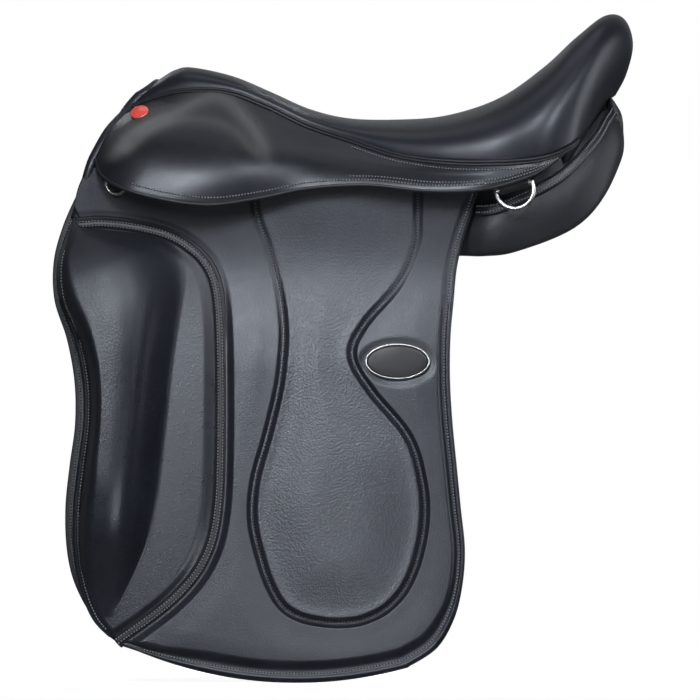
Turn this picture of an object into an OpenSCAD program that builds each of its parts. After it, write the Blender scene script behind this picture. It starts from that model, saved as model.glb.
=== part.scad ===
// Dressage saddle with external thigh blocks.
// +X runs from the pommel to the cantle, +Z is up, the rider's left side is -Y.
// The origin is on the centre plane, at the roof of the channel that spans the horse's spine.
// Every paired piece is written for the right side (+Y) and mirrored for the left.

/* [Seat] */
// Length of the seat, front of the pommel to back of the cantle
seat_length = 452; // [435:1:480]
// Width of the seat at its widest
seat_width = 286; // [272:1:300]
// Height of the pommel
pommel_height = 94; // [88:0.5:104]
// Height of the lowest point of the seat
seat_height = 46; // [44:0.5:50]
// Height of the cantle
cantle_height = 143; // [130:1:155]
// Fullness of the shoulder of the seat
seat_fullness = 0.08; // [0:0.01:0.12]
// Depth of the dish across the back of the seat
seat_dish = 6; // [0:0.5:9]
// Thickness of the seat leather
seat_leather = 2.5; // [1.5:0.1:3]
// Thickness of the seat foam
seat_foam_thickness = 14; // [10:0.5:15]

/* [Skirts] */
// Drop of the skirt below the origin at its lowest point
skirt_drop = 30.6; // [27:0.1:32]
// Thickness of the padded skirt
skirt_thickness = 6; // [4:0.25:7]
// How far the padded front of the skirt swells
skirt_swell = 20; // [14:0.5:24]
// Diameter of the piping round the seat
seat_welt_diameter = 4; // [3:0.1:4.6]

/* [Flaps] */
// Length of the moving flap, bend line to lowest point
flap_length = 421; // [380:1:450]
// Width of the flap
flap_width = 366; // [350:1:372]
// Slope of the flap away from vertical at its bend line
flap_lean = 0.27; // [0.24:0.005:0.3]
// Thickness of the flap's backing leather
flap_leather = 3.5; // [2.5:0.1:4.5]
// Thickness of the padded facing of the flap
facing_thickness = 8; // [6:0.25:9]
// Half width of the sewn channel round the leg panel
channel_half_width = 2; // [1.5:0.1:3]
// Width of the flat sewn border of the flap
border_width = 12; // [9:0.5:14]
// Room between the flap and the sweat flap
girth_room = 9; // [8.5:0.1:11]
// Thickness of the sweat flap
sweat_leather = 3.5; // [2.5:0.1:4]

/* [Thigh blocks] */
// Height of the block above its flange
block_height = 44; // [30:1:52]
// Thickness of the block's sewn flange
block_flange = 5; // [4:0.25:7]
// Diameter of the piping round the block
block_welt_diameter = 8; // [6:0.25:9]

/* [Tree] */
// Thickness of the laminated tree
tree_thickness = 9; // [7:0.25:10]
// Thickness of the tree's points
point_thickness = 14; // [11:0.5:15]
// Width of the tree's points
point_width = 44; // [36:1:50]
// Thickness of the steel gullet plate
gullet_plate_thickness = 3; // [2:0.1:4]
// Diameter of the rivet heads
rivet_head = 8; // [6:0.25:10]

/* [Stirrup bars] */
// Length of a stirrup bar
bar_length = 76; // [68:1:82]
// Height of the forged bar
bar_height = 10; // [9:0.25:12]
// Depth of the forged bar
bar_depth = 8; // [7.2:0.1:9]
// Gap behind the bar for the stirrup leather
bar_gap = 9; // [7:0.25:10]
// Thickness of the bar's base plate
bar_plate = 4; // [3:0.25:5]
// Diameter of the catch pin
catch_pin = 3; // [2.5:0.1:3.5]
// Thickness of the catch
catch_blade = 3; // [2.4:0.1:3.6]
// Length of the catch from its pin
catch_length = 17; // [13:0.5:20]

/* [Rings] */
// Wire diameter of the rear rings
rear_wire = 4; // [3:0.1:4.5]
// Inside width of the rear rings
rear_ring_width = 30; // [26:0.5:33]
// Wire diameter of the front rings
front_wire = 3; // [2.6:0.1:3.4]
// Inside width of the front rings
front_ring_width = 17; // [15:0.5:18]
// Thickness of the leather loops that hold the rings
chape_leather = 2.2; // [1.6:0.1:2.6]

/* [Girth billets] */
// Width of a billet
billet_width = 25; // [22:0.5:28]
// Thickness of a billet
billet_leather = 4; // [3:0.1:4.5]
// Length of a billet below its web
billet_length = 330; // [300:5:350]
// Diameter of a buckle hole
hole_diameter = 5; // [4:0.1:6]
// Distance between buckle holes
hole_pitch = 25; // [22:0.5:28]
// Number of buckle holes in a billet
hole_count = 8; // [4:1:9]

/* [Badges and studs] */
// Width of the oval badge
badge_width = 58; // [50:1:62]
// Height of the oval badge
badge_height = 33; // [28:1:36]
// Width of the badge's rim
badge_rim = 2.2; // [1.5:0.1:3]
// Thickness of the badge
badge_thickness = 3; // [2:0.1:4]
// Diameter of the pommel studs
stud_diameter = 15; // [12:0.5:17]

/* [Hidden] */
$fn = 48;
// Clearance between soft pieces that lie on each other
gap = 0.4;
// Radial clearance of a pin in its hole
pin_gap = 0.05;
leather_black = "#1b1c20";

// General geometry

function mix(a, b, k) = a + (b - a) * k;
function clamp01(x) = min(max(x, 0), 1);
function ease(a, b, x) = let(k = clamp01((x - a) / (b - a))) k * k * (3 - 2 * k);
function unit(v) = v / norm(v);

// Smooth curve through the points p, for k from 0 to 1
function spline(p, k) =
    let(
        n = len(p) - 1,
        s = clamp01(k) * n,
        i = min(floor(s), n - 1),
        f = s - i,
        a = p[max(i - 1, 0)],
        b = p[i],
        c = p[i + 1],
        d = p[min(i + 2, n)]
    )
    0.5 * (2 * b + (c - a) * f + (2 * a - 5 * b + 4 * c - d) * f * f + (3 * b - a - 3 * c + d) * f * f * f);

function total(v, i = 0) = i == len(v) ? 0 : v[i] + total(v, i + 1);
function signed_volume(pts, faces) =
    total([for (f = faces) cross(pts[f[0]], pts[f[1]]) * pts[f[2]]]);

// Closed solid from points and triangles, turned the right way out
module solid(pts, faces) {
    out = signed_volume(pts, faces) < 0 ? faces : [for (f = faces) [f[2], f[1], f[0]]];
    polyhedron(pts, out);
}

function quad(a, b, c, d) = [[a, b, c], [a, c, d]];

// Solid between two grids of points with the same rows and columns
module shell(top, bottom) {
    n = len(top);
    m = len(top[0]);
    t = function (i, j) i * m + j;
    b = function (i, j) (n + i) * m + j;
    faces = [
        for (i = [0:n - 2]) for (j = [0:m - 2]) each concat(
            quad(t(i, j), t(i, j + 1), t(i + 1, j + 1), t(i + 1, j)),
            quad(b(i, j), b(i + 1, j), b(i + 1, j + 1), b(i, j + 1))
        ),
        for (i = [0:n - 2]) each concat(
            quad(t(i, 0), t(i + 1, 0), b(i + 1, 0), b(i, 0)),
            quad(t(i, m - 1), b(i, m - 1), b(i + 1, m - 1), t(i + 1, m - 1))
        ),
        for (j = [0:m - 2]) each concat(
            quad(t(0, j), b(0, j), b(0, j + 1), t(0, j + 1)),
            quad(t(n - 1, j), t(n - 1, j + 1), b(n - 1, j + 1), b(n - 1, j))
        )
    ];
    solid([for (r = top) each r, for (r = bottom) each r], faces);
}

// Solid through closed rings of points, with fanned ends
module loft(rings) {
    n = len(rings);
    m = len(rings[0]);
    first = total_vec(rings[0]) / m;
    last = total_vec(rings[n - 1]) / m;
    faces = [
        for (i = [0:n - 2]) for (j = [0:m - 1])
            each quad(i * m + j, i * m + (j + 1) % m, (i + 1) * m + (j + 1) % m, (i + 1) * m + j),
        for (j = [0:m - 1]) [n * m, (j + 1) % m, j],
        for (j = [0:m - 1]) [n * m + 1, (n - 1) * m + j, (n - 1) * m + (j + 1) % m]
    ];
    solid([for (r = rings) each r, first, last], faces);
}
function total_vec(v, i = 0, s = [0, 0, 0]) = i == len(v) ? s : total_vec(v, i + 1, s + v[i]);

// Round cord along a path
module cord(path, d, sides = 6) {
    n = len(path);
    loft([
        for (i = [0:n - 1])
            let(
                along = unit(path[min(i + 1, n - 1)] - path[max(i - 1, 0)]),
                side = unit(cross(along, [0.3, 0.2, 1])),
                up = cross(side, along)
            )
            [
                for (j = [0:sides - 1])
                    let(a = j * 360 / sides)
                    path[i] + (side * cos(a) + up * sin(a)) * d / 2
            ]
    ]);
}

module on_side(side) {
    mirror([0, side == "left" ? 1 : 0, 0]) children();
}

// Seat surface.
// A rib runs from the seat's edge up to the centre line. Each row of seat_ribs gives the edge as
// [place along the seat, half width, rise at the pommel, rise at the cantle] and then
// the centre line as [place along the seat, rise at the pommel, rise at the cantle], all as shares.

seat_front = -196;
edge_low = 5;
// Pieces under the seat are placed for this length of seat, and move along with any other
drawn_length = 452;
function along_seat(x) = seat_front + (x - seat_front) * seat_length / drawn_length;
// Only what lies behind the flap stretches, all of it at the rear end
stretch_from = 110;
stretch_to = 230;
function behind_flap(x) =
    x + (seat_length - drawn_length) * clamp01((x - stretch_from) / (stretch_to - stretch_from));
edge_pommel = pommel_height - 19;
edge_cantle = cantle_height - 77;
seat_ribs = [
    [0.002, 0.28, 0.78, 0.00, 0.055, 0.785, 0.00],
    [0.055, 0.32, 0.91, 0.00, 0.084, 0.945, 0.00],
    [0.115, 0.37, 0.98, 0.00, 0.119, 0.990, 0.00],
    [0.195, 0.43, 0.96, 0.00, 0.201, 0.820, 0.00],
    [0.274, 0.49, 0.77, 0.00, 0.279, 0.514, 0.00],
    [0.354, 0.56, 0.52, 0.00, 0.354, 0.204, 0.00],
    [0.434, 0.66, 0.34, 0.00, 0.434, 0.030, 0.00],
    [0.533, 0.81, 0.13, 0.00, 0.529, 0.000, 0.01],
    [0.633, 0.93, 0.03, 0.03, 0.628, 0.000, 0.07],
    [0.732, 1.00, 0.00, 0.06, 0.732, 0.000, 0.25],
    [0.812, 0.97, 0.00, 0.11, 0.822, 0.000, 0.55],
    [0.867, 0.85, 0.00, 0.26, 0.887, 0.000, 0.83],
    [0.898, 0.70, 0.00, 0.45, 0.941, 0.000, 0.99],
    [0.920, 0.52, 0.00, 0.66, 0.983, 0.000, 0.94],
    [0.938, 0.34, 0.00, 0.84, 1.000, 0.000, 0.71],
    [0.951, 0.19, 0.00, 0.96, 0.987, 0.000, 0.43],
    [0.958, 0.09, 0.00, 1.00, 0.965, 0.000, 0.23]
];
last_rib = len(seat_ribs) - 1;

function seat_edge(k) =
    let(r = spline(seat_ribs, k))
    [
        seat_front + seat_length * r[0],
        seat_width / 2 * r[1],
        edge_low + (edge_pommel - edge_low) * r[2] + (edge_cantle - edge_low) * r[3]
    ];
function seat_centre(k) =
    let(r = spline(seat_ribs, k))
    [
        seat_front + seat_length * r[4],
        0,
        seat_height + (pommel_height - seat_height) * r[5] + (cantle_height - seat_height) * r[6]
    ];

// Point of the seat at place k along it and turn a across it, 0 at the right edge and 180 at the left
function seat_point(k, a) =
    let(
        e = seat_edge(k),
        c = seat_centre(k),
        full = 1 + seat_fullness * pow(sin(2 * a), 2),
        rise = sin(a) * full,
        dish = seat_dish * ease(0.4, 0.6, k) * (1 - ease(0.68, 0.8, k)) * pow(sin(a), 10)
    )
    [mix(e.x, c.x, rise), e.y * cos(a) * full, mix(e.z, c.z, rise) - dish];

function seat_normal(k, a) =
    let(dk = 0.004, da = 1)
    unit(cross(
        seat_point(k, a + da) - seat_point(k, a - da),
        seat_point(min(k + dk, 1), a) - seat_point(max(k - dk, 0), a)
    ));

function seat_inside(k, a, depth) = seat_point(k, a) - seat_normal(k, a) * depth;

seat_rows = 28;
seat_cols = 14;
function seat_grid(depth, first_row, last_row, margin) = [
    for (i = [first_row:last_row])
        [for (j = [margin:seat_cols - margin]) seat_inside(i / seat_rows, 180 * j / seat_cols, depth)]
];

module seat_cover() {
    color(leather_black)
        shell(
            seat_grid(0, 0, seat_rows, 0),
            seat_grid(seat_leather, 0, seat_rows, 0)
        );
}

foam_top = seat_leather + gap;
foam_rows = [1, 23];
module seat_foam() {
    color("#d8cfa8")
        shell(
            seat_grid(foam_top, foam_rows[0], foam_rows[1], 2),
            seat_grid(foam_top + seat_foam_thickness, foam_rows[0], foam_rows[1], 2)
        );
}

// Tree: a laminated ring under the foam, with two points that grip behind the withers

tree_gap = 1.4;
tree_top = foam_top + seat_foam_thickness + tree_gap;
tree_bottom = tree_top + tree_thickness;
tree_rows = [2, 19];
tree_cols = 3;
// Turn of the tree's outer edge and of its open middle, from head to cantle; 90 closes the middle
tree_outer = [58, 46, 42, 40, 40, 40, 40, 41, 43, 48, 58];
tree_inner = [90, 90, 74, 66, 64, 64, 65, 66, 70, 90, 90];
function tree_half(depth) = [
    for (i = [tree_rows[0]:tree_rows[1]]) [
        for (j = [0:tree_cols])
            let(
                s = (i - tree_rows[0]) / (tree_rows[1] - tree_rows[0]),
                a = mix(spline(tree_outer, s), min(spline(tree_inner, s), 90), j / tree_cols)
            )
            seat_inside(i / seat_rows, a, depth)
    ]
];
// Point just under the tree's rail, where the panel is laced to it
rail_turn = 57;
lacing_room = 2.2;
function under_rail(k) = seat_inside(k, rail_turn, tree_bottom + lacing_room);

// Middle line of a point, from the head of the tree down to its tip
point_path = [
    [-146, 28, 59], [-149, 40, 42], [-153, 52, 18], [-158, 62, -8], [-165, 72, -36], [-171, 79, -60]
];
point_steps = 10;
function point_at(k) = spline(point_path, k);
function point_out(k) =
    let(d = point_at(min(k + 0.02, 1)) - point_at(max(k - 0.02, 0)))
    unit([0, -d.z, d.y]);
function point_ring(k, half_width, inner, outer) =
    let(p = point_at(k), n = point_out(k))
    [
        p + n * inner + [-half_width, 0, 0], p + n * outer + [-half_width, 0, 0],
        p + n * outer + [half_width, 0, 0], p + n * inner + [half_width, 0, 0]
    ];

module tree() {
    color("#b98a55") {
        for (side = ["left", "right"]) on_side(side) {
            shell(tree_half(tree_top), tree_half(tree_bottom));
            loft([
                for (i = [0:point_steps])
                    point_ring(
                        i / point_steps,
                        point_width / 2 * (1 - 0.25 * ease(0.6, 1, i / point_steps)),
                        -point_thickness / 2, point_thickness / 2
                    )
            ]);
        }
    }
}

// Steel arch that lines the head of the tree and both points
plate_width = 32;
plate_depth = point_thickness / 2 + gap;
arch_steps = 8;
arch_top = [-146, 0, 52];
function arch_ring(k) = point_ring(
    k, plate_width / 2, -plate_depth - gullet_plate_thickness, -plate_depth
);
arch_start = 0.16;
arch_end = 0.9;
function arch_crown() =
    let(h = plate_width / 2, t = gullet_plate_thickness)
    [
        arch_top + [-h, 0, -t], arch_top + [-h, 0, 0],
        arch_top + [h, 0, 0], arch_top + [h, 0, -t]
    ];

module gullet_plate() {
    right = [for (i = [arch_steps:-1:0]) arch_ring(mix(arch_start, arch_end, i / arch_steps))];
    left = [
        for (i = [0:arch_steps])
            let(r = arch_ring(mix(arch_start, arch_end, i / arch_steps)))
            [for (p = r) [p.x, -p.y, p.z]]
    ];
    color("#6d7075") loft(concat(right, [arch_crown()], left));
}

// Rivets on the inner face of the arch, two to each point
rivet_thickness = 2;
rivet_gap = 0.1;
rivets_at = [0.35, 0.78];
module rivet() {
    cylinder(h = rivet_thickness, d1 = rivet_head, d2 = rivet_head * 0.7);
}
module gullet_rivets() {
    color("#8e9196")
        for (side = ["left", "right"], k = rivets_at) on_side(side) {
            n = -point_out(k);
            translate(point_at(k) + n * (plate_depth + gullet_plate_thickness + rivet_gap))
                rotate([atan2(-n.y, n.z), 0, 0]) rivet();
        }
}

// Webbing stretched across the open middle of the tree
web_thickness = 1.6;
web_gap = 0.9;
web_depth = tree_bottom + web_gap;
function web_strip(depth, rows, turns) = [
    for (i = [rows[0]:rows[1]])
        [for (j = [0:3]) seat_inside(i / seat_rows, mix(turns[0], turns[1], j / 3), depth)]
];
module web(depth, rows, turns) {
    shell(web_strip(depth, rows, turns), web_strip(depth + web_thickness, rows, turns));
}
module seat_webs() {
    color("#c9c2ae") {
        web(web_depth, [4, 18], [78, 102]);
        web(web_depth + web_thickness + gap, [9, 11], [66, 114]);
    }
}

// Skirts.
// Each row gives the lower edge as [place along the seat, half width, drop, swell], all as shares,
// rib by rib beside the first rows of seat_ribs.

skirt_ribs = [
    [-0.074, 0.66, -0.35, 0.40],
    [-0.062, 0.78, 0.12, 0.75],
    [-0.020, 0.85, 0.50, 0.95],
    [0.062, 0.90, 0.84, 1.00],
    [0.155, 0.92, 1.00, 1.00],
    [0.250, 0.905, 0.82, 0.80],
    [0.350, 0.895, 0.52, 0.45],
    [0.469, 0.915, 0.42, 0.25],
    [0.593, 0.975, 0.59, 0.18],
    [0.708, 1.030, 0.52, 0.12],
    [0.801, 0.995, 0.12, 0.08],
    [0.863, 0.880, -0.35, 0.04]
];
skirt_rows = 24;
skirt_cols = 6;
// Room left for the piping, how low the swell sits, and how far the edge tucks in
welt_room = 2;
swell_low = 1.15;
swell_tuck = 0.12;
skirt_end = (len(skirt_ribs) - 1) / last_rib;
function skirt_low(k) =
    let(r = spline(skirt_ribs, k))
    [seat_front + seat_length * r[0], seat_width / 2 * r[1], -skirt_drop * r[2]];
function skirt_point(k, c) =
    let(
        b = seat_edge(k * skirt_end),
        e = skirt_low(k),
        down = unit(e - b),
        out = unit([0, -down.z, down.y]),
        swell = skirt_swell * spline(skirt_ribs, k)[3],
        start = (seat_welt_diameter + welt_room) / norm(e - b),
        s = mix(start, 1, c)
    )
    mix(b, e, s) + out * swell * (sin(180 * pow(s, swell_low)) - swell_tuck * sin(360 * s));
function skirt_normal(k, c) =
    let(d = 0.01)
    unit(cross(
        skirt_point(min(k + d, 1), c) - skirt_point(max(k - d, 0), c),
        skirt_point(k, min(c + d, 1)) - skirt_point(k, max(c - d, 0))
    ));
function skirt_grid(depth) = [
    for (i = [0:skirt_rows])
        [for (j = [0:skirt_cols])
            let(k = i / skirt_rows, c = j / skirt_cols)
            skirt_point(k, c) - skirt_normal(k, c) * depth]
];
module skirt(side) {
    color(leather_black) on_side(side) shell(skirt_grid(0), skirt_grid(skirt_thickness));
}

// Piping in the seam between seat and skirt
welt_rows = 26;
welt_drop = 1.12;
function welt_at(k) =
    let(b = seat_edge(k * skirt_end), e = skirt_low(k), down = unit(e - b))
    b + down * (seat_welt_diameter / 2 + welt_drop) + unit([0, -down.z, down.y]) * seat_welt_diameter * 0.3;
module seat_welt(side) {
    color(leather_black) on_side(side)
        cord([for (i = [0:welt_rows]) welt_at(i / welt_rows)], seat_welt_diameter);
}

// Roll that binds the front of the pommel
roll_diameter = 10;
roll_gap = 1.6;
roll_rows = 16;
roll_corner = 0.62;
// Along the skirt's front edge up to the corner, then over the pommel to the centre
function roll_at(k) =
    let(
        low = k < roll_corner,
        c = 1 - k / roll_corner,
        a = 90 * (k - roll_corner) / (1 - roll_corner),
        p = low ? skirt_point(0, c) : seat_point(0, a),
        n = low ? skirt_normal(0, c) : seat_normal(0, a),
        edge = low ? skirt_point(0, max(c - 0.01, 0)) - skirt_point(0, min(c + 0.01, 1))
            : seat_point(0, a + 1) - seat_point(0, a - 1),
        ahead = unit(cross(edge, n))
    )
    p - n * roll_diameter * 0.3 + ahead * (roll_diameter / 2 + roll_gap);
module pommel_roll() {
    half = [for (i = [0:roll_rows]) roll_at(i / roll_rows)];
    other = [for (i = [roll_rows - 1:-1:0]) [half[i].x, -half[i].y, half[i].z]];
    color(leather_black) cord(concat(half, other), roll_diameter);
}

// Coloured stud beside the pommel, on the skirt
stud_place = [0.055, 0.14];
stud_height = 3;
module stud(side) {
    p = skirt_point(stud_place[0], stud_place[1]);
    n = skirt_normal(stud_place[0], stud_place[1]);
    color("#d8403c") on_side(side)
        translate(p + n * gap)
            rotate([0, acos(n.z), atan2(n.y, n.x)])
                rotate_extrude()
                    polygon([
                        [0, 0], [stud_diameter / 2, 0], [stud_diameter / 2, stud_height * 0.4],
                        [stud_diameter * 0.38, stud_height * 0.85], [stud_diameter * 0.2, stud_height],
                        [0, stud_height]
                    ]);
}

// Flaps.
// A place on the flap is [across, down]: across is a share of the flap's width from its foremost point,
// down is a share of its length below the bend line.

flap_front = -264;
bend_z = -38;
bend_x = -250;
bend_y = 96;
bend_slant = 0.06;
bend_turn = atan(bend_slant);
flap_curl = 0.00008;
flap_wrap = 10;
// Rows down the flap: front edge [down, across] and rear edge [down, across]
flap_edges = [
    [0.00, 0.050, 0.00, 1.020],
    [0.06, 0.020, 0.06, 0.997],
    [0.12, 0.003, 0.12, 0.981],
    [0.19, 0.010, 0.19, 0.973],
    [0.27, 0.045, 0.27, 0.965],
    [0.36, 0.067, 0.36, 0.964],
    [0.45, 0.069, 0.45, 0.970],
    [0.54, 0.056, 0.54, 0.980],
    [0.63, 0.045, 0.63, 0.990],
    [0.72, 0.046, 0.72, 1.000],
    [0.80, 0.062, 0.80, 0.993],
    [0.87, 0.095, 0.87, 0.972],
    [0.915, 0.150, 0.93, 0.930],
    [0.935, 0.200, 0.97, 0.860]
];
hem_bow = 0.046;
function hem(k, c) = hem_bow * pow(k, 6) * 4 * c * (1 - c);
// Place on the flap, k down its rows and c from front edge to rear edge
function flap_place(k, c) =
    let(r = spline(flap_edges, k))
    [mix(r[1], r[3], c), mix(r[0], r[2], c) + hem(k, c)];

function flap_x(across) = flap_front + flap_width * across;
function bend_line(x) = bend_y + bend_slant * (x - bend_x);
// Back face of the flap's backing leather at x, and at depth d below the bend line
function flap_back(x, d) =
    let(w = (x - flap_x(0.5)) / (flap_width / 2))
    bend_line(x) + flap_lean * d - flap_curl * d * d * sign(d)
        - flap_wrap * max(d, 0) / flap_length * w * w;
// Point at height out in front of the back face
function flap_point(place, out) =
    let(x = flap_x(place[0]), d = flap_length * place[1])
    [x, flap_back(x, d) + out, bend_z - d];

flap_rows = 22;
flap_cols = 8;
function flap_grid(out) = [
    for (i = [0:flap_rows])
        [for (j = [0:flap_cols]) flap_point(flap_place(i / flap_rows, j / flap_cols), out)]
];
module flap(side) {
    color(leather_black) on_side(side) shell(flap_grid(flap_leather), flap_grid(0));
}

// Seam round the leg panel, as rows [down, left edge, right edge]
panel_seam = [
    [0.010, 0.490, 0.891],
    [0.073, 0.516, 0.885],
    [0.156, 0.542, 0.842],
    [0.242, 0.555, 0.758],
    [0.306, 0.553, 0.729],
    [0.380, 0.542, 0.775],
    [0.477, 0.515, 0.866],
    [0.573, 0.485, 0.901],
    [0.658, 0.479, 0.907],
    [0.744, 0.501, 0.888],
    [0.808, 0.541, 0.852],
    [0.851, 0.584, 0.798],
    [0.876, 0.648, 0.722]
];
facing_base = flap_leather + gap;
facing_top = facing_base + facing_thickness;
channel_share = (channel_half_width + gap) / flap_width;

leg_rows = 22;
function leg_place(k, c) =
    let(r = spline(panel_seam, k))
    [mix(r[1] + channel_share, r[2] - channel_share, c), r[0] - channel_share];
// Crown of a padded piece at distance s in from its sewn edge, both in mm
pad_round = 9;
function crown(s) = let(k = clamp01(s / pad_round)) sqrt(max(0, 1 - (1 - k) * (1 - k)));
pad_edge = 0.35;
function leg_height(k, c) =
    let(
        r = spline(panel_seam, k),
        wide = (r[2] - r[1]) * flap_width,
        low = (panel_seam[len(panel_seam) - 1][0] - r[0]) * flap_length,
        s = min(min(c, 1 - c) * wide, low)
    )
    facing_base + facing_thickness * mix(pad_edge, 1, crown(s));
leg_stations = [0, 0.03, 0.12, 0.5, 0.88, 0.97, 1];
function leg_grid(top) = [
    for (i = [0:leg_rows])
        [for (c = leg_stations)
            let(k = i / leg_rows)
            flap_point(leg_place(k, c), top ? leg_height(k, c) : facing_base)]
];
module leg_panel(side) {
    color("#26282d") on_side(side) shell(leg_grid(true), leg_grid(false));
}

// Seam of the thigh block, from the flap's front edge over the top and down to its foot
block_seam = [
    [0.038, 0.028], [0.107, 0.024], [0.180, 0.030], [0.254, 0.044], [0.303, 0.062], [0.352, 0.095],
    [0.382, 0.135], [0.396, 0.188], [0.402, 0.274], [0.404, 0.402], [0.403, 0.530], [0.399, 0.616],
    [0.389, 0.680], [0.372, 0.727], [0.340, 0.776], [0.291, 0.823], [0.230, 0.866], [0.168, 0.904]
];
function seam_at(k) = spline(block_seam, k);
function seam_out(k) =
    let(
        d = seam_at(min(k + 0.01, 1)) - seam_at(max(k - 0.01, 0)),
        v = [d[0] * flap_width, d[1] * flap_length]
    )
    [v[1], -v[0]] / norm(v);
// Place beside the block's seam, mm away from it on the leg's side
function beside_seam(k, mm) =
    let(p = seam_at(k), n = seam_out(k))
    [p[0] + n[0] * mm / flap_width, p[1] + n[1] * mm / flap_length];

// Padded facing: a band from the leg panel's seam out to the block's seam, the hem and the rear edge
facing_rows = 40;
seam_share = 0.43;
hem_share = 0.6;
facing_seam_start = 0.3;
seam_end = 0.985;
facing_seam_gap = 2.6;
function facing_outer(s) =
    s < seam_share ?
        beside_seam(
            mix(facing_seam_start, seam_end, s / seam_share),
            block_welt_diameter / 2 + facing_seam_gap
        )
    : s < hem_share ? flap_place(1, (s - seam_share) / (hem_share - seam_share))
    : flap_place(1 - (s - hem_share) / (1 - hem_share), 1);
function facing_inner(s) =
    let(r = spline(panel_seam, s < 0.5 ? 2 * s : 2 - 2 * s))
    s < 0.5 ? [r[1] - channel_share, r[0] + channel_share * ease(0.4, 0.5, s)]
    : [r[2] + channel_share, r[0] + channel_share * ease(0.4, 0.5, 1 - s)];
function facing_width(s) =
    let(d = facing_outer(s) - facing_inner(s))
    norm([d[0] * flap_width, d[1] * flap_length]);
// Stations across the band as [share from the channel, mm from the outer edge, height share]
function facing_row(s, top) =
    let(
        w = facing_width(s),
        a = facing_inner(s),
        b = facing_outer(s),
        border = border_width * ease(seam_share - 0.04, seam_share + 0.02, s),
        hem_height = mix(0.8, 0.3, ease(seam_share - 0.04, seam_share + 0.02, s)),
        stations = [
            [0, pad_edge], [2 / w, mix(pad_edge, 1, crown(2))], [8 / w, 1],
            [mix(8 / w, 1 - (border + 7) / w, 0.5), 1],
            [1 - (border + 7) / w, 1], [1 - (border + 2) / w, mix(pad_edge, 1, crown(3))],
            [1 - max(border * 0.8, 1.5) / w, hem_height], [1, hem_height]
        ]
    )
    [for (t = stations) flap_point(
        mix(a, b, clamp01(t[0])), facing_base + (top ? facing_thickness * t[1] : 0)
    )];
module flap_facing(side) {
    color(leather_black) on_side(side)
        shell(
            [for (i = [0:facing_rows]) facing_row(i / facing_rows, true)],
            [for (i = [0:facing_rows]) facing_row(i / facing_rows, false)]
        );
}

// Thigh block: rows fan from the flap's front edge to the block's seam
block_rows = 24;
block_first = 0.02;
block_last = 0.97;
front_first = 0.02;
front_last = 0.905;
block_seam_gap = 1.44;
function block_place(k, c) =
    let(
        s = mix(block_first, block_last, k),
        edge = flap_place(mix(front_first, front_last, k), 0),
        seam = beside_seam(s, -block_welt_diameter / 2 - block_seam_gap)
    )
    mix(edge, seam, c);
// Rows down the block: [front foot, front shoulder, rear shoulder, rear foot, height], all as shares
block_form = [
    [0.00, 0.10, 0.30, 0.70, 0.05],
    [0.00, 0.16, 0.45, 0.95, 0.50],
    [0.00, 0.20, 0.50, 0.90, 0.82],
    [0.02, 0.20, 0.50, 0.84, 0.97],
    [0.05, 0.20, 0.48, 0.76, 1.00],
    [0.06, 0.19, 0.45, 0.68, 0.98],
    [0.06, 0.19, 0.43, 0.63, 0.95],
    [0.05, 0.20, 0.44, 0.63, 0.90],
    [0.04, 0.20, 0.44, 0.64, 0.80],
    [0.04, 0.20, 0.42, 0.66, 0.52],
    [0.04, 0.20, 0.36, 0.60, 0.16],
    [0.05, 0.20, 0.40, 0.60, 0.00]
];
function block_top(k, c) =
    let(f = spline(block_form, k))
    block_flange + block_height * max(f[4], 0) * ease(f[0], f[1], c) * (1 - ease(f[2], f[3], c));
block_stations = [0, 0.06, 0.13, 0.21, 0.32, 0.44, 0.54, 0.64, 0.76, 1];
function block_grid(top) = [
    for (i = [0:block_rows])
        [for (c = block_stations)
            let(k = i / block_rows)
            flap_point(block_place(k, c), facing_base + (top ? block_top(k, c) : 0))]
];
module thigh_block(side) {
    color(leather_black) on_side(side) shell(block_grid(true), block_grid(false));
}

// Piping between the thigh block and the facing
block_welt_rows = 30;
block_welt_first = 0.03;
module block_welt(side) {
    color(leather_black) on_side(side)
        cord(
            [for (i = [0:block_welt_rows])
                flap_point(
                    seam_at(mix(block_welt_first, seam_end, i / block_welt_rows)),
                    facing_base + block_welt_diameter / 2
                )],
            block_welt_diameter
        );
}

// Oval badge on the facing, in a metal rim
badge_place = [0.838, 0.32];
badge_steps = 40;
function oval(w, h) = [
    for (i = [0:badge_steps - 1])
        [w / 2 * cos(360 * i / badge_steps), h / 2 * sin(360 * i / badge_steps)]
];
module at_badge() {
    d = 0.01;
    slope = flap_point(badge_place + [d, 0], 0) - flap_point(badge_place - [d, 0], 0);
    fall = flap_point(badge_place + [0, d], 0) - flap_point(badge_place - [0, d], 0);
    translate(flap_point(badge_place, facing_top + gap))
        rotate([0, 0, atan2(slope.y, slope.x)])
            rotate([atan2(fall.y, -fall.z) - 90, 0, 0]) rotate([0, 0, 180]) children();
}
module badge_rim_ring(side) {
    color("#c9ccd0") on_side(side) at_badge()
        linear_extrude(badge_thickness) difference() {
            polygon(oval(badge_width, badge_height));
            polygon(oval(badge_width - 2 * badge_rim, badge_height - 2 * badge_rim));
        }
}
module badge_plate(side) {
    color("#08080a") on_side(side) at_badge()
        linear_extrude(badge_thickness * 0.7)
            polygon(oval(badge_width - 2 * badge_rim - gap, badge_height - 2 * badge_rim - gap));
}

// Fixed top of the flap, from the bend line up under the skirt to the tree
top_rows = 16;
bend_gap = 0.6;
top_lining = 2;
top_thickness = flap_leather + top_lining;
// Height of the strip above the bend line, front to rear, low where the stirrup bar reaches out
top_rise = [3, 24, 17, 15, 30, 62, 54, 50, 40, 28, 22];
top_front = 0.047;
top_rake = 0.03;
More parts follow.
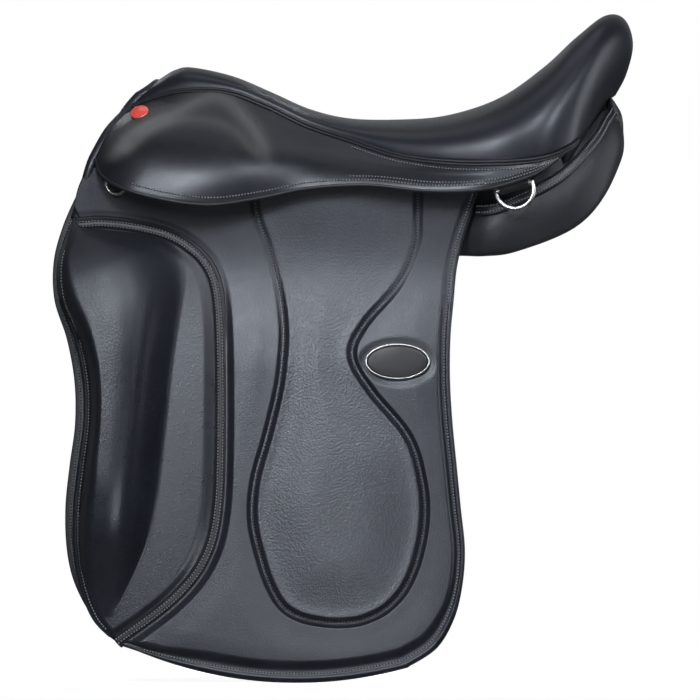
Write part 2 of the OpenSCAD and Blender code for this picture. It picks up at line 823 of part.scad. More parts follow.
// Rear end of the strip: the flap's own, or where the panel's gusset begins to swell
panel_swell_x = 109.5;
top_rear = min(1.02, (panel_swell_x - flap_front) / flap_width);
function top_point(k, c, out) =
    let(
        x = flap_x(mix(top_front + top_rake * c * (1 - k), top_rear, k)),
        up = c * spline(top_rise, k) + bend_gap
    )
    [x, flap_back(x, -up) + out, bend_z + up];
function top_grid(out) = [
    for (i = [0:top_rows]) [for (c = [0, 0.5, 1]) top_point(i / top_rows, c, out)]
];
module flap_top(side) {
    color(leather_black) on_side(side) shell(top_grid(top_thickness), top_grid(0));
}

// Sweat flap under the billets; its front edge shows ahead of the flap
sweat_lead = [0.00, 0.004, 0.010, 0.016, 0.020, 0.020, 0.020, 0.018, 0.012, -0.005, -0.02];
sweat_back = [0.14, 0.12, 0.10, 0.09, 0.08, 0.07, 0.06, 0.06, 0.06, 0.06, 0.07];
sweat_rows = 18;
sweat_cols = 6;
sweat_top = 0.035;
function sweat_place(k, c) =
    let(p = flap_place(k * 0.94, 0), q = flap_place(k * 0.94, 1))
    [
        mix(p[0] - spline(sweat_lead, k), q[0] - spline(sweat_back, k), c),
        mix(p[1], q[1], c) - sweat_top * (1 - ease(0, 0.3, k)) + hem(k, c) * 0.6
    ];
function sweat_grid(out) = [
    for (i = [0:sweat_rows])
        [for (j = [0:sweat_cols]) flap_point(sweat_place(i / sweat_rows, j / sweat_cols), out)]
];
module sweat_flap(side) {
    color("#222226") on_side(side)
        shell(sweat_grid(-girth_room), sweat_grid(-girth_room - sweat_leather));
}

// Billets: each hangs from the girth web and can swing fore and aft in the room under the flap
billet_x = [-105, -20];
billet_drop = 12;
billet_tip = 22;
billet_half = billet_width / 2;
billet_point = billet_width * 0.22;
first_hole = 60;
function billet_lean(x) =
    atan((flap_back(x, billet_drop + billet_length) - flap_back(x, billet_drop)) / billet_length);
function billet_top(x) =
    [
        x,
        flap_back(x, billet_drop) - girth_room / 2 - billet_leather / 2
            + flap_curl * billet_length * billet_length / 8,
        bend_z - billet_drop
    ];
module billet_outline() {
    difference() {
        polygon([
            for (a = [0:15:180]) billet_half * [cos(a), sin(a)],
            [-billet_half, -billet_length + billet_tip], [-billet_point, -billet_length],
            [billet_point, -billet_length], [billet_half, -billet_length + billet_tip]
        ]);
        for (i = [0:hole_count - 1])
            translate([0, -billet_length + first_hole + i * hole_pitch]) circle(d = hole_diameter);
    }
}
module billet(x, side) {
    color("#2a2a2e") on_side(side)
        translate(billet_top(x)) rotate([0, 0, bend_turn]) rotate([90 + billet_lean(x), 0, 0])
            translate([0, 0, -billet_leather]) linear_extrude(billet_leather) billet_outline();
}

// Webbing that carries both billets of a side, sewn behind the fixed top of the flap
girth_web_thickness = 2;
girth_web_rise = 29;
girth_web_taper = 12;
girth_web_gap = 1.36;
function girth_web_grid(out) = [
    for (i = [0:4]) [
        for (c = [0, 1])
            let(
                front = billet_x[0] - billet_width / 2 + girth_web_taper * c,
                rear = billet_x[1] + billet_width / 2 - girth_web_taper * c,
                x = mix(front, rear, i / 4),
                d = mix(billet_drop - billet_half - girth_web_gap, -girth_web_rise, c)
            )
            [x, flap_back(x, d) - gap - out, bend_z - d]
    ]
];
module girth_web(side) {
    color("#cfc8b4") on_side(side) shell(girth_web_grid(0), girth_web_grid(girth_web_thickness));
}

// Panels: flocked cushions on each side of the channel.
// Rows from front to rear give the corners of a section:
// channel wall, ridge under the tree, top outer, bottom outer, bottom inner.
// A lone number is a place under the tree's rail.
panel_sections = [
    [[-204, 32, -6], [-204, 36, 2], [-206, 41, -6], [-212, 66, -72], [-208, 46, -62]],
    [[-175, 30, 6], [-175, 35, 18], [-175, 42, 6], [-178, 70, -88], [-176, 44, -62]],
    [[-140, 30, 12], [-140, 35, 24], [-140, 42, 8], [-142, 69, -92], [-140, 42, -56]],
    [[-90, 30, 24], 0.212, [-90, 66, 8], [-90, 88, -90], [-90, 40, -48]],
    [[-40, 30, 14], 0.305, [-40, 84, -2], [-40, 97, -88], [-40, 38, -42]],
    [[0, 30, 8], 0.370, [0, 87, -8], [0, 96, -86], [0, 37, -40]],
    [[40, 30, 4], 0.432, [40, 91, -14], [40, 97, -84], [40, 36, -38]],
    [[95, 30, 4], 0.510, [96, 104, -30], [94, 106, -80], [95, 36, -36]],
    [[125, 30, 10], 0.552, [126, 124, -33], [122, 118, -80], [125, 35, -34]],
    [[153, 29, 20], 0.594, [154, 124, -22], [151, 116, -76], [153, 34, -28]],
    [[186, 28, 36], 0.640, [189, 112, -2], [202, 104, -56], [198, 32, -8]],
    [[212, 26, 46], [210, 40, 60], [216, 88, 27], [230, 84, -26], [226, 30, 12]],
    [[224, 25, 50], [224, 38, 56], [229, 62, 48], [245, 62, 12], [240, 28, 28]],
    [[230, 27, 52], [231, 34, 55], [234, 44, 56], [247, 46, 36], [243, 30, 42]]
];
panel_rows = 26;
side_steps = 3;
corners = 5;
panel_steps = corners * side_steps;
panel_swell = 7;
corner_cut = 4;
function panel_corner(p) = is_num(p) ? under_rail(p) : [behind_flap(p.x), p.y, p.z];
function panel_corners(k) =
    [for (i = [0:corners - 1]) spline([for (r = panel_sections) panel_corner(r[i])], k)];
// Rounded closed section: the sides swell and the corners are drawn in, except the laced ridge
function panel_ring(k) =
    let(
        q = panel_corners(k),
        mid = total_vec(q) / corners,
        taper = min(ease(-0.02, 0.08, k), 1 - ease(0.9, 1.05, k))
    )
    [
        for (j = [0:panel_steps - 1])
            let(
                i = floor(j / side_steps),
                f = j / side_steps - i,
                p = mix(q[i], q[(i + 1) % corners], f),
                swell = i < 2 ? 0.25 : i == 4 ? 0.5 : 1,
                cut = f > 0 || i == 1 ? 0 : corner_cut
            )
            p + unit(p - mid) * (panel_swell * swell * sin(180 * f) - cut) * taper
    ];
module panel(side) {
    color(leather_black) on_side(side)
        loft([for (i = [0:panel_rows]) panel_ring(i / panel_rows)]);
}

// Sewn strip along the top of the panel's rear gusset
facing_strip_width = 9;
facing_strip_thickness = 3;
facing_strip_gap = 0.64;
strip_first = 0.597;
strip_last = 0.972;
strip_rows = 16;
function strip_ring(k) =
    let(
        ring = panel_ring(k),
        p = ring[2 * side_steps],
        down = unit(ring[2 * side_steps + 1] - p),
        along = panel_ring(k + 0.02)[2 * side_steps] - p,
        out = unit(cross(along, down)),
        base = p + out * facing_strip_gap
    )
    [
        base, base + down * facing_strip_width,
        base + down * facing_strip_width + out * facing_strip_thickness, base + out * facing_strip_thickness
    ];
module panel_facing(side) {
    color(leather_black) on_side(side)
        loft([for (i = [0:strip_rows]) strip_ring(mix(strip_first, strip_last, i / strip_rows))]);
}

// Stirrup bar, riveted to the outer face of the tree's point.
// Its own frame: X along the bar, Y down the point, Z out from the point.
bar_at = 0.58;
bar_radius = bar_height / 2;
plate_length = 58;
plate_height = 30;
bar_front = -44;
arm_width = 12;
catch_slot = catch_blade + 2 * gap;
catch_radius = bar_radius - 0.5;
cut = 1;
ear = bar_radius;
bar_bottom = bar_plate + bar_gap;
bar_end = bar_front + bar_length;
catch_bottom = bar_bottom + (bar_depth - catch_slot) / 2;
module at_bar(side) {
    n = point_out(bar_at);
    on_side(side)
        translate(point_at(bar_at) + n * (point_thickness / 2 + gap))
            rotate([atan2(-n.y, n.z), 0, 0]) children();
}
module stirrup_bar(side) {
    color("#a9adb2") at_bar(side) difference() {
        union() {
            translate([-plate_length / 2, -plate_height / 2, 0])
                cube([plate_length, plate_height, bar_plate]);
            translate([bar_front, -bar_radius, 0])
                cube([arm_width, bar_height, bar_bottom + bar_depth]);
            translate([bar_front, -bar_radius, 0])
                cube([arm_width - plate_length / 2 - bar_front, bar_height, bar_plate]);
            translate([bar_front, -bar_radius, bar_bottom])
                cube([bar_length - ear, bar_height, bar_depth]);
            translate([bar_end - ear, 0, bar_bottom]) cylinder(h = bar_depth, r = bar_radius);
        }
        translate([bar_end - ear - bar_radius - gap, -bar_height, catch_bottom])
            cube([bar_height * 2, bar_height * 2, catch_slot]);
        translate([bar_end - ear, 0, bar_bottom - cut])
            cylinder(h = bar_depth + 2 * cut, d = catch_pin + 2 * pin_gap);
    }
}
// Thumb catch that turns up to close the end of the bar
module bar_catch(side) {
    color("#b9bdc2") at_bar(side)
        translate([bar_end - ear, 0, bar_bottom + (bar_depth - catch_blade) / 2]) difference() {
            union() {
                cylinder(h = catch_blade, r = catch_radius);
                translate([0, -catch_radius, 0])
                    cube([catch_length - bar_radius, 2 * catch_radius, catch_blade]);
                translate([catch_length - bar_radius, 0, 0])
                    cylinder(h = catch_blade, r = catch_radius);
            }
            translate([0, 0, -cut]) cylinder(h = catch_blade + 2 * cut, d = catch_pin + 2 * pin_gap);
        }
}
module catch_hinge_pin(side) {
    color("#8e9196") at_bar(side)
        translate([bar_end - ear, 0, bar_bottom]) cylinder(h = bar_depth, d = catch_pin);
}
module bar_rivets(side) {
    color("#8e9196") at_bar(side)
        for (x = [-plate_length * 0.22, plate_length * 0.22])
            translate([x, -plate_height * 0.3, bar_plate + rivet_gap]) rivet();
}

// D-shaped ring. Its straight bar lies along X through the origin and the bow hangs to -Y.
module dee(wire, inside) {
    r = inside / 2 + wire / 2;
    drop = wire * 0.8;
    translate([-r, 0, 0]) rotate([0, 90, 0]) cylinder(h = 2 * r, d = wire);
    for (x = [-r, r]) {
        translate([x, 0, 0]) sphere(d = wire);
        translate([x, -drop, 0]) rotate([-90, 0, 0]) cylinder(h = drop, d = wire);
    }
    translate([0, -drop, 0]) rotate([0, 0, 180])
        rotate_extrude(angle = 180) translate([r, 0]) circle(d = wire);
}
// Leather loop round the ring's bar, with a tail that is sewn down
chape_side_room = 1.4;
module chape(wire, inside, tail, tilt) {
    bore = wire / 2 + gap;
    outer = bore + chape_leather;
    wide = inside - 2 * chape_side_room;
    translate([wide / 2, 0, 0]) rotate([tilt, 0, 0]) rotate([0, -90, 0])
        difference() {
            union() {
                cylinder(h = wide, r = outer);
                translate([-outer, 0, 0]) cube([chape_leather, tail, wide]);
            }
            translate([0, 0, -cut]) cylinder(h = wide + 2 * cut, r = bore);
        }
}
rear_ring_at = [along_seat(147), 134.6, -15];
rear_ring_tilt = -16;
rear_ring_lean = 10;
rear_tail = 20;
module at_rear_ring(side) {
    on_side(side) translate(rear_ring_at) rotate([0, rear_ring_tilt, 0])
        rotate([90 + rear_ring_lean, 0, 0]) children();
}
module rear_ring(side) {
    color("#d5d7da") at_rear_ring(side) dee(rear_wire, rear_ring_width);
}
module rear_chape(side) {
    color(leather_black) at_rear_ring(side) chape(rear_wire, rear_ring_width, rear_tail, 0);
}
// Place of the front ring behind the skirt, and of the middle of its sewn tail
front_ring_k = 0.14;
front_ring_c = 0.92;
front_tail_c = 0.74;
front_tail = 14;
front_ring_gap = 1.44;
front_ring_drop = 7;
front_ring_depth = skirt_thickness + front_wire / 2 + chape_leather + front_ring_gap;
front_ring_out = skirt_normal(front_ring_k, front_ring_c);
front_ring_down = unit(skirt_point(front_ring_k, 1) - skirt_point(front_ring_k, front_ring_c));
front_ring_at = skirt_point(front_ring_k, front_ring_c)
    - front_ring_out * front_ring_depth + front_ring_down * front_ring_drop;
front_ring_turn = atan2(-front_ring_out.x, front_ring_out.y);
front_chape_tilt = asin(skirt_normal(front_ring_k, front_tail_c).z);
module at_front_ring(side) {
    on_side(side) translate(front_ring_at) rotate([0, 0, front_ring_turn]) rotate([90, 0, 0]) children();
}
module front_ring(side) {
    color("#d5d7da") at_front_ring(side) dee(front_wire, front_ring_width);
}
module front_chape(side) {
    color(leather_black) at_front_ring(side)
        chape(front_wire, front_ring_width, front_tail, front_chape_tilt);
}

tree();
gullet_plate();
gullet_rivets();
seat_webs();
seat_foam();
seat_cover();
pommel_roll();
for (side = ["left", "right"]) {
    seat_welt(side);
    skirt(side);
    stud(side);
    stirrup_bar(side);
    bar_rivets(side);
    bar_catch(side);
    catch_hinge_pin(side);
    panel(side);
    panel_facing(side);
    sweat_flap(side);
    flap_top(side);
    girth_web(side);
    flap(side);
    flap_facing(side);
    leg_panel(side);
    thigh_block(side);
    block_welt(side);
    badge_rim_ring(side);
    badge_plate(side);
    billet(billet_x[0], side);
    billet(billet_x[1], side);
    rear_ring(side);
    rear_chape(side);
    front_ring(side);
    front_chape(side);
}
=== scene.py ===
"""Looks of a black dressage saddle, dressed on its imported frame. Lengths in this file are millimetres."""
import math

import bpy
import numpy as np
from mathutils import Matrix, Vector


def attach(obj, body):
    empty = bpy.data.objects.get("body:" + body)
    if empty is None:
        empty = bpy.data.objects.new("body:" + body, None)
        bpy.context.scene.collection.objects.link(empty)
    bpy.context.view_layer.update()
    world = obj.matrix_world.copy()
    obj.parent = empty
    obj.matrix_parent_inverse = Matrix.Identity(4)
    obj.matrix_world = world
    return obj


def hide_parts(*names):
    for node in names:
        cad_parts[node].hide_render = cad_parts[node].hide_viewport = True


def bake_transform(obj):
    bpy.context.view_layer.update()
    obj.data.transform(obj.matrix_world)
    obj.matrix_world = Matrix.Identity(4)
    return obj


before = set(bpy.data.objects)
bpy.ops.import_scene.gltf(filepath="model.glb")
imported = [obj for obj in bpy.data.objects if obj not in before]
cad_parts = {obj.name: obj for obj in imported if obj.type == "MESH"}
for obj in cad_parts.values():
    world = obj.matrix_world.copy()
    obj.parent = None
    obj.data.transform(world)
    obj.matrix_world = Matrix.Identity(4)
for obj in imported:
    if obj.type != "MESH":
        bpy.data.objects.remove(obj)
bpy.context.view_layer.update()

MM = 0.001
SIDES = (("left", -1.0), ("right", 1.0))


# General geometry

def mix(a, b, k):
    return a + (b - a) * k


def ease(a, b, x):
    k = np.clip((x - a) / (b - a), 0, 1)
    return k * k * (3 - 2 * k)


def unit(v):
    return v / np.maximum(np.linalg.norm(v, axis=-1, keepdims=True), 1e-9)


def same_shape(k, c):
    """Both as float arrays of one shape."""
    return np.broadcast_arrays(np.asarray(k, float), np.asarray(c, float))


def lattice(n, m, k=(0, 1), c=(0, 1)):
    """A column of n steps and a row of m steps, which together span a surface."""
    return np.linspace(*k, n)[:, None], np.linspace(*c, m)[None, :]


def circle(count):
    """Cosines and sines of one turn in count steps, as columns."""
    w = np.linspace(0, 2 * math.pi, count, endpoint=False)[:, None]
    return np.cos(w), np.sin(w)


def turned(axis, angle):
    """Matrix of a turn round the axis X, Y or Z, numbered 0 to 2."""
    i, j = (axis + 1) % 3, (axis + 2) % 3
    m = np.eye(3)
    m[i, i] = m[j, j] = math.cos(angle)
    m[i, j], m[j, i] = -math.sin(angle), math.sin(angle)
    return m


def spline(p, k):
    """Smooth curve through the rows of p, for k from 0 to 1."""
    n = len(p) - 1
    s = np.clip(np.asarray(k, float), 0, 1) * n
    i = np.minimum(s.astype(int), n - 1)
    f = (s - i)[..., None]
    a, b, c, d = p[np.maximum(i - 1, 0)], p[i], p[i + 1], p[np.minimum(i + 2, n)]
    return 0.5 * (2 * b + (c - a) * f + (2 * a - 5 * b + 4 * c - d) * f**2 + (3 * b - a - 3 * c + d) * f**3)


def grid_faces(n, m, start=0, close_i=False, close_j=False):
    i, j = np.meshgrid(np.arange(n if close_i else n - 1), np.arange(m if close_j else m - 1), indexing="ij")
    i2, j2 = (i + 1) % n, (j + 1) % m
    f = np.stack([i * m + j, i * m + j2, i2 * m + j2, i2 * m + j], -1).reshape(-1, 4)
    return (f + start).tolist()


def outward(v, f):
    """The same faces, turned so that a closed mesh has its outside out."""
    tri = [(q[0], q[k], q[k + 1]) for q in f for k in range(1, len(q) - 1)]
    t = v[np.array(tri)]
    vol = np.einsum("ij,ij->i", t[:, 0], np.cross(t[:, 1], t[:, 2])).sum()
    return f if vol > 0 else [q[::-1] for q in f]


def join(*parts):
    v, f, base = [], [], 0
    for pv, pf in parts:
        v.append(pv)
        f += [[x + base for x in q] for q in pf]
        base += len(pv)
    return np.concatenate(v), f


RIM_BULGE = 0.6


def shell(top, bottom, rim=3):
    """Closed sheet between two grids, with a rim rounded in rim steps."""
    n, m = top.shape[:2]
    ring = ([(0, j) for j in range(m)] + [(i, m - 1) for i in range(1, n)]
            + [(n - 1, j) for j in range(m - 2, -1, -1)] + [(i, 0) for i in range(n - 2, 0, -1)])
    ii, jj = np.array(ring).T
    i2 = np.clip(ii, 1, n - 2)
    j2 = np.clip(jj, 1, m - 2)
    a, b = top[ii, jj], bottom[ii, jj]
    out = unit((a + b) / 2 - (top[i2, j2] + bottom[i2, j2]) / 2)
    half = np.linalg.norm(a - b, axis=-1, keepdims=True) / 2
    v = [top.reshape(-1, 3), bottom.reshape(-1, 3)]
    f = grid_faces(n, m) + [q[::-1] for q in grid_faces(n, m, n * m)]
    loops = [ii * m + jj]
    for t in range(1, rim + 1):
        w = math.pi * t / (rim + 1)
        v.append(mix(a, b, (1 - math.cos(w)) / 2) + out * half * RIM_BULGE * math.sin(w))
        loops.append(2 * n * m + (t - 1) * len(ring) + np.arange(len(ring)))
    loops.append(n * m + ii * m + jj)
    for p, q in zip(loops[:-1], loops[1:]):
        p2, q2 = np.roll(p, -1), np.roll(q, -1)
        f += np.stack([p2, p, q, q2], -1).tolist()
    v = np.concatenate(v)
    return v, outward(v, f)


def loft(rings):
    """Closed skin through closed rings of points, shape (n, m, 3), with a fan at each end."""
    n, m = rings.shape[:2]
    mid0, mid1 = rings[0].mean(0), rings[-1].mean(0)
    v = np.concatenate([rings.reshape(-1, 3), [mid0, mid1]])
    f = grid_faces(n, m, close_j=True)
    f += [[n * m, (j + 1) % m, j] for j in range(m)]
    f += [[n * m + 1, (n - 1) * m + j, (n - 1) * m + (j + 1) % m] for j in range(m)]
    return v, outward(v, f)


def tube(path, radius, sides):
    """Round cord along a path."""
    t = unit(np.gradient(path, axis=0))
    a = np.zeros_like(path)
    ref = np.array((0.31, 0.17, 0.93))
    for i in range(len(path)):
        ref = ref - t[i] * (ref @ t[i])
        ref = ref / np.linalg.norm(ref)
        a[i] = ref
    b = np.cross(t, a)
    cos, sin = circle(sides)
    r = np.broadcast_to(np.asarray(radius, float), len(path))[:, None, None]
    return loft(path[:, None] + r * (a[:, None] * cos + b[:, None] * sin))


def resample(path, step):
    seg = np.linalg.norm(np.diff(path, axis=0), axis=1)
    s = np.concatenate([[0], np.cumsum(seg)])
    at = np.arange(step / 2, s[-1], step)
    return np.stack([np.interp(at, s, path[:, i]) for i in range(path.shape[1])], -1)


def away_from(path, points):
    """Distance from each point to a path, both in one plane."""
    flat = points.reshape(-1, 2)
    best = np.full(len(flat), np.inf)
    for a, b in zip(path[:-1], path[1:]):
        d = b - a
        k = np.clip((flat - a) @ d / max(d @ d, 1e-9), 0, 1)
        best = np.minimum(best, np.linalg.norm(flat - a - k[:, None] * d, axis=1))
    return best.reshape(points.shape[:-1])


def stitches(path, normal, pitch=2.8, length=2.0, width=1.3, lift=0.30):
    """Row of short threads along a path that lies on a surface with the given normals."""
    both = resample(np.concatenate([path, np.broadcast_to(normal, path.shape)], 1), pitch)
    p, n = both[:, :3], unit(both[:, 3:])
    t = unit(np.gradient(p, axis=0))
    b = unit(np.cross(n, t))
    p, n, t, b = (x[:, None, None] for x in (p, n, t, b))
    along = np.array([-0.5, -0.3, 0.3, 0.5]) * length
    fat = np.array([0.3, 1.0, 1.0, 0.3]) * width / 2
    rise = np.array([-0.35, 0.1, 0.1, -0.35]) * width + lift
    along, fat, rise = (x[:, None, None] for x in (along, fat, rise))
    cos, sin = circle(6)
    v = p + t * along + n * rise + b * (fat * cos) + n * (fat * sin)
    one = grid_faces(4, 6, close_j=True) + [[5, 4, 3, 2, 1, 0], [18, 19, 20, 21, 22, 23]]
    one = outward(v[0].reshape(-1, 3), one)
    f = [[x + 24 * i for x in q] for i in range(len(p)) for q in one]
    return v.reshape(-1, 3), f


# Materials

def fill_in(nt, node, inputs):
    """Sets inputs of a node: an output is linked to its input, and any other value is a constant."""
    for key, value in inputs.items():
        if isinstance(value, bpy.types.NodeSocket):
            nt.links.new(value, node.inputs[key])
        else:
            node.inputs[key].default_value = value


def add(nt, kind, inputs, out=0, **settings):
    """Output of a new shader node."""
    node = nt.nodes.new("ShaderNode" + kind)
    for key, value in settings.items():
        setattr(node, key, value)
    fill_in(nt, node, inputs)
    return node.outputs[out]


def new_material(name):
    """A material with its node tree, its shader and the place on the object."""
    m = bpy.data.materials.new(name)
    m.use_nodes = True
    nt = m.node_tree
    return m, nt, nt.nodes["Principled BSDF"], add(nt, "TexCoord", {}, "Object")


def noise(nt, at, scale, detail=2.0, rough=0.5):
    return add(nt, "TexNoise", {"Vector": at, "Scale": scale, "Detail": detail, "Roughness": rough}, "Fac")


def calc(nt, op, a, b):
    return add(nt, "Math", {0: a, 1: b}, operation=op)


def spread(nt, value, low, high, out_low, out_high):
    return add(nt, "MapRange", {"Value": value, "From Min": low, "From Max": high,
                                "To Min": out_low, "To Max": out_high})


def blend(nt, fac, a, b):
    """From colour a, which may be an output, to colour b."""
    a = (*a, 1) if isinstance(a, tuple) else a
    return add(nt, "Mix", {"Factor": fac, "A": a, "B": (*b, 1)}, "Result", data_type="RGBA")


def bumps(nt, height, strength, distance):
    return add(nt, "Bump", {"Strength": strength, "Distance": distance * MM, "Height": height}, "Normal")


def attribute(nt, name):
    return add(nt, "Attribute", {}, "Fac", attribute_name=name)


GRAIN_DEPTH, DULL_ROUGHNESS = 0.5, 0.26
COOL_TINT = (0.90, 0.94, 1.0, 1.0)


def leather(name, dark, light, rough, grain, strength, specular=0.5, painted_highlight=None):
    """Dyed leather: creased pebbles of 1/grain metres, fine pores, cloudy dye and uneven polish.

    Where the mesh's attribute "stretch" is 1 the colour is the last one given, a painted highlight on a band
    that faces the lamps. Where its attribute "dull" is 1 no leg has polished the leather."""
    m, nt, sh, at = new_material(name)
    wobble = add(nt, "TexNoise", {"Vector": at, "Scale": grain * 0.6}, "Color")
    wobble = add(nt, "VectorMath", {0: wobble, "Scale": 0.9 / grain}, operation="SCALE")
    warped = add(nt, "VectorMath", {0: at, 1: wobble}, operation="ADD")
    cell = add(nt, "TexVoronoi", {"Vector": warped, "Scale": grain}, "Distance", feature="F1")
    crease = spread(nt, cell, 0.15, 0.75, 1.0, 0.0)
    pores = noise(nt, at, grain * 2.3, 3.0)
    height = calc(nt, "ADD", calc(nt, "MULTIPLY", crease, 0.65), calc(nt, "MULTIPLY", pores, 0.6))
    cloud = noise(nt, at, 22.0, 4.0, 0.6)
    dye = blend(nt, spread(nt, cloud, 0.25, 0.75, 0, 1), dark, light)
    # Painted highlight: the colour goes lighter where the attribute "stretch" marks the skirt's fold, a band lit
    # by the lamps.
    if painted_highlight:
        dye = blend(nt, attribute(nt, "stretch"), dye, painted_highlight)
    scuff = noise(nt, at, 90.0, 3.0, 0.65)
    worn = calc(nt, "ADD", spread(nt, scuff, 0.3, 0.7, rough - 0.02, rough + 0.03),
                     spread(nt, crease, 0.0, 1.0, 0.06, 0.0))
    dull = calc(nt, "MULTIPLY", attribute(nt, "dull"), DULL_ROUGHNESS)
    fill_in(nt, sh, {"Base Color": dye, "Roughness": calc(nt, "ADD", worn, dull),
                     "Normal": bumps(nt, height, strength, GRAIN_DEPTH),
                     "Specular IOR Level": specular, "Specular Tint": COOL_TINT})
    return m


def metal(name, colour, rough, stretch, scratch):
    m, nt, sh, at = new_material(name)
    lines = noise(nt, add(nt, "Mapping", {"Vector": at, "Scale": stretch}), 400.0, 4.0, 0.6)
    smear = noise(nt, at, 120.0, 3.0)
    worn = calc(nt, "ADD", spread(nt, lines, 0.3, 0.7, rough * 0.7, rough * 1.2),
                     spread(nt, smear, 0.4, 0.7, 0.0, 0.08))
    fill_in(nt, sh, {"Metallic": 1.0, "Base Color": (*colour, 1), "Roughness": worn,
                     "Normal": bumps(nt, lines, scratch, 0.05)})
    return m


def enamel(name, dark, light, rough, coat, specular=0.5):
    m, nt, sh, at = new_material(name)
    fill_in(nt, sh, {"Base Color": blend(nt, noise(nt, at, 160.0, 3.0), dark, light),
                     "Roughness": spread(nt, noise(nt, at, 60.0, 2.0), 0.3, 0.7, rough * 0.9, rough * 1.15),
                     "Normal": bumps(nt, noise(nt, at, 900.0), 0.03, 0.05),
                     "Coat Weight": coat, "Coat Roughness": 0.06, "Specular IOR Level": specular})
    return m


def woven(name, dark, light, pitch, rough=0.75):
    """Plain weave whose threads are pitch apart."""
    m, nt, sh, at = new_material(name)
    waves = {"Vector": at, "Scale": 1 / (pitch * MM * 6.3), "Distortion": 0.6}
    cloth = calc(nt, "MULTIPLY", *[add(nt, "TexWave", waves, "Fac", bands_direction=axis) for axis in "XZ"])
    fill_in(nt, sh, {"Base Color": blend(nt, cloth, dark, light),
                     "Roughness": spread(nt, noise(nt, at, 200.0), 0.3, 0.7, rough, rough + 0.2),
                     "Normal": bumps(nt, cloth, 0.5, 0.5)})
    return m


def grainy(name, dark, light, rough, scale, stretch=(1, 1, 1)):
    m, nt, sh, at = new_material(name)
    g = noise(nt, add(nt, "Mapping", {"Vector": at, "Scale": stretch}), scale, 5.0, 0.6)
    fill_in(nt, sh, {"Base Color": blend(nt, spread(nt, g, 0.3, 0.7, 0, 1), dark, light),
                     "Roughness": spread(nt, g, 0.3, 0.7, rough, rough + 0.12),
                     "Normal": bumps(nt, g, 0.2, 0.4)})
    return m


SMOOTH = leather("leather_satin", (0.005, 0.006, 0.009), (0.010, 0.011, 0.015), 0.33, 620, 0.08, 0.34)
# The skirt's last colour is a painted highlight, laid on its fold where the lamps above light it.
SKIRT = leather("leather_skirt", (0.005, 0.006, 0.008), (0.010, 0.011, 0.014), 0.28, 620, 0.08, 0.30,
                (0.068, 0.067, 0.068))
BLOCK = leather("leather_block", (0.004, 0.005, 0.007), (0.008, 0.009, 0.013), 0.27, 520, 0.14, 0.36)
GRAIN = leather("leather_grain", (0.004, 0.005, 0.008), (0.010, 0.011, 0.016), 0.33, 760, 0.22, 0.43)
PEBBLE = leather("leather_pebble", (0.005, 0.006, 0.009), (0.011, 0.012, 0.018), 0.33, 520, 0.46, 0.53)
CUSHION = leather("leather_cushion", (0.008, 0.008, 0.010), (0.014, 0.014, 0.017), 0.46, 500, 0.16, 0.30)
PIPING = leather("leather_piping", (0.006, 0.006, 0.008), (0.010, 0.010, 0.013), 0.38, 900, 0.10, 0.28)
STRAP = leather("leather_strap", (0.010, 0.010, 0.012), (0.018, 0.018, 0.021), 0.47, 480, 0.20)
# Painted shade: a dark matte leather for the line of needle holes under each stitch row, darker and less glossy
# than the leather round it.
STITCH_SHADE = leather("leather_needle_line", (0.003, 0.003, 0.004), (0.005, 0.005, 0.006), 0.75, 900, 0.10, 0.15)
# Thread: the light grey is partly the thread's own dark grey and partly a painted highlight for its glints; the
# second is the same thread with painted shade, for stitches sunk in a groove.
THREAD = woven("thread", (0.090, 0.092, 0.102), (0.170, 0.173, 0.190), 0.35, 0.4)
SHADED_THREAD = woven("thread_painted_shade", (0.035, 0.036, 0.042), (0.070, 0.072, 0.082), 0.35, 0.4)
CHROME = metal("chrome_plate", (0.62, 0.61, 0.60), 0.30, (1, 1, 1), 0.04)
STEEL = metal("forged_steel", (0.46, 0.47, 0.49), 0.34, (0.15, 1, 1), 0.25)
RED = enamel("stud_enamel", (0.42, 0.040, 0.032), (0.55, 0.065, 0.050), 0.22, 0.6)
BLACK = enamel("badge_enamel", (0.003, 0.003, 0.004), (0.006, 0.006, 0.008), 0.42, 0.0, 0.3)
WOOD = grainy("tree_beech", (0.30, 0.17, 0.08), (0.55, 0.36, 0.19), 0.45, 60, (0.06, 1, 1))
FOAM = grainy("seat_latex", (0.55, 0.49, 0.33), (0.74, 0.69, 0.52), 0.8, 700)
WEB = woven("girth_webbing", (0.30, 0.28, 0.22), (0.56, 0.53, 0.44), 1.4)


# Pieces

def new_object(name, data):
    obj = bpy.data.objects.new(name, data)
    bpy.context.scene.collection.objects.link(obj)
    return obj


def piece(name, geo, material, body="saddle", stands_for=(), bend=None):
    v, f = geo
    mesh = bpy.data.meshes.new(name)
    mesh.from_pydata((v * MM).tolist(), [], f)
    mesh.update()
    mesh.shade_smooth()
    mesh.materials.append(material)
    obj = new_object(name, mesh)
    if bend:
        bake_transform(obj)
    else:
        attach(obj, body)
    if stands_for:
        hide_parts(*stands_for)
    return obj


def pair(name, geo, material, body="saddle", stands_for=(), bend=False):
    """The same piece on both sides: geo is the right one, and {} in a name takes the side."""
    v, f = geo
    made = []
    for side, sign in SIDES:
        faces = f if sign > 0 else [q[::-1] for q in f]
        made.append(piece(f"{name}_{side}", (v * (1, sign, 1), faces), material, body.format(side),
                          [n.format(side) for n in stands_for], sign if bend else None))
    return made


def mark(objects, name, values):
    """Writes a value at each vertex, which the materials read by its name."""
    for obj in objects:
        obj.data.attributes.new(name, "FLOAT", "POINT").data.foreach_set("value", values.astype(np.float32))


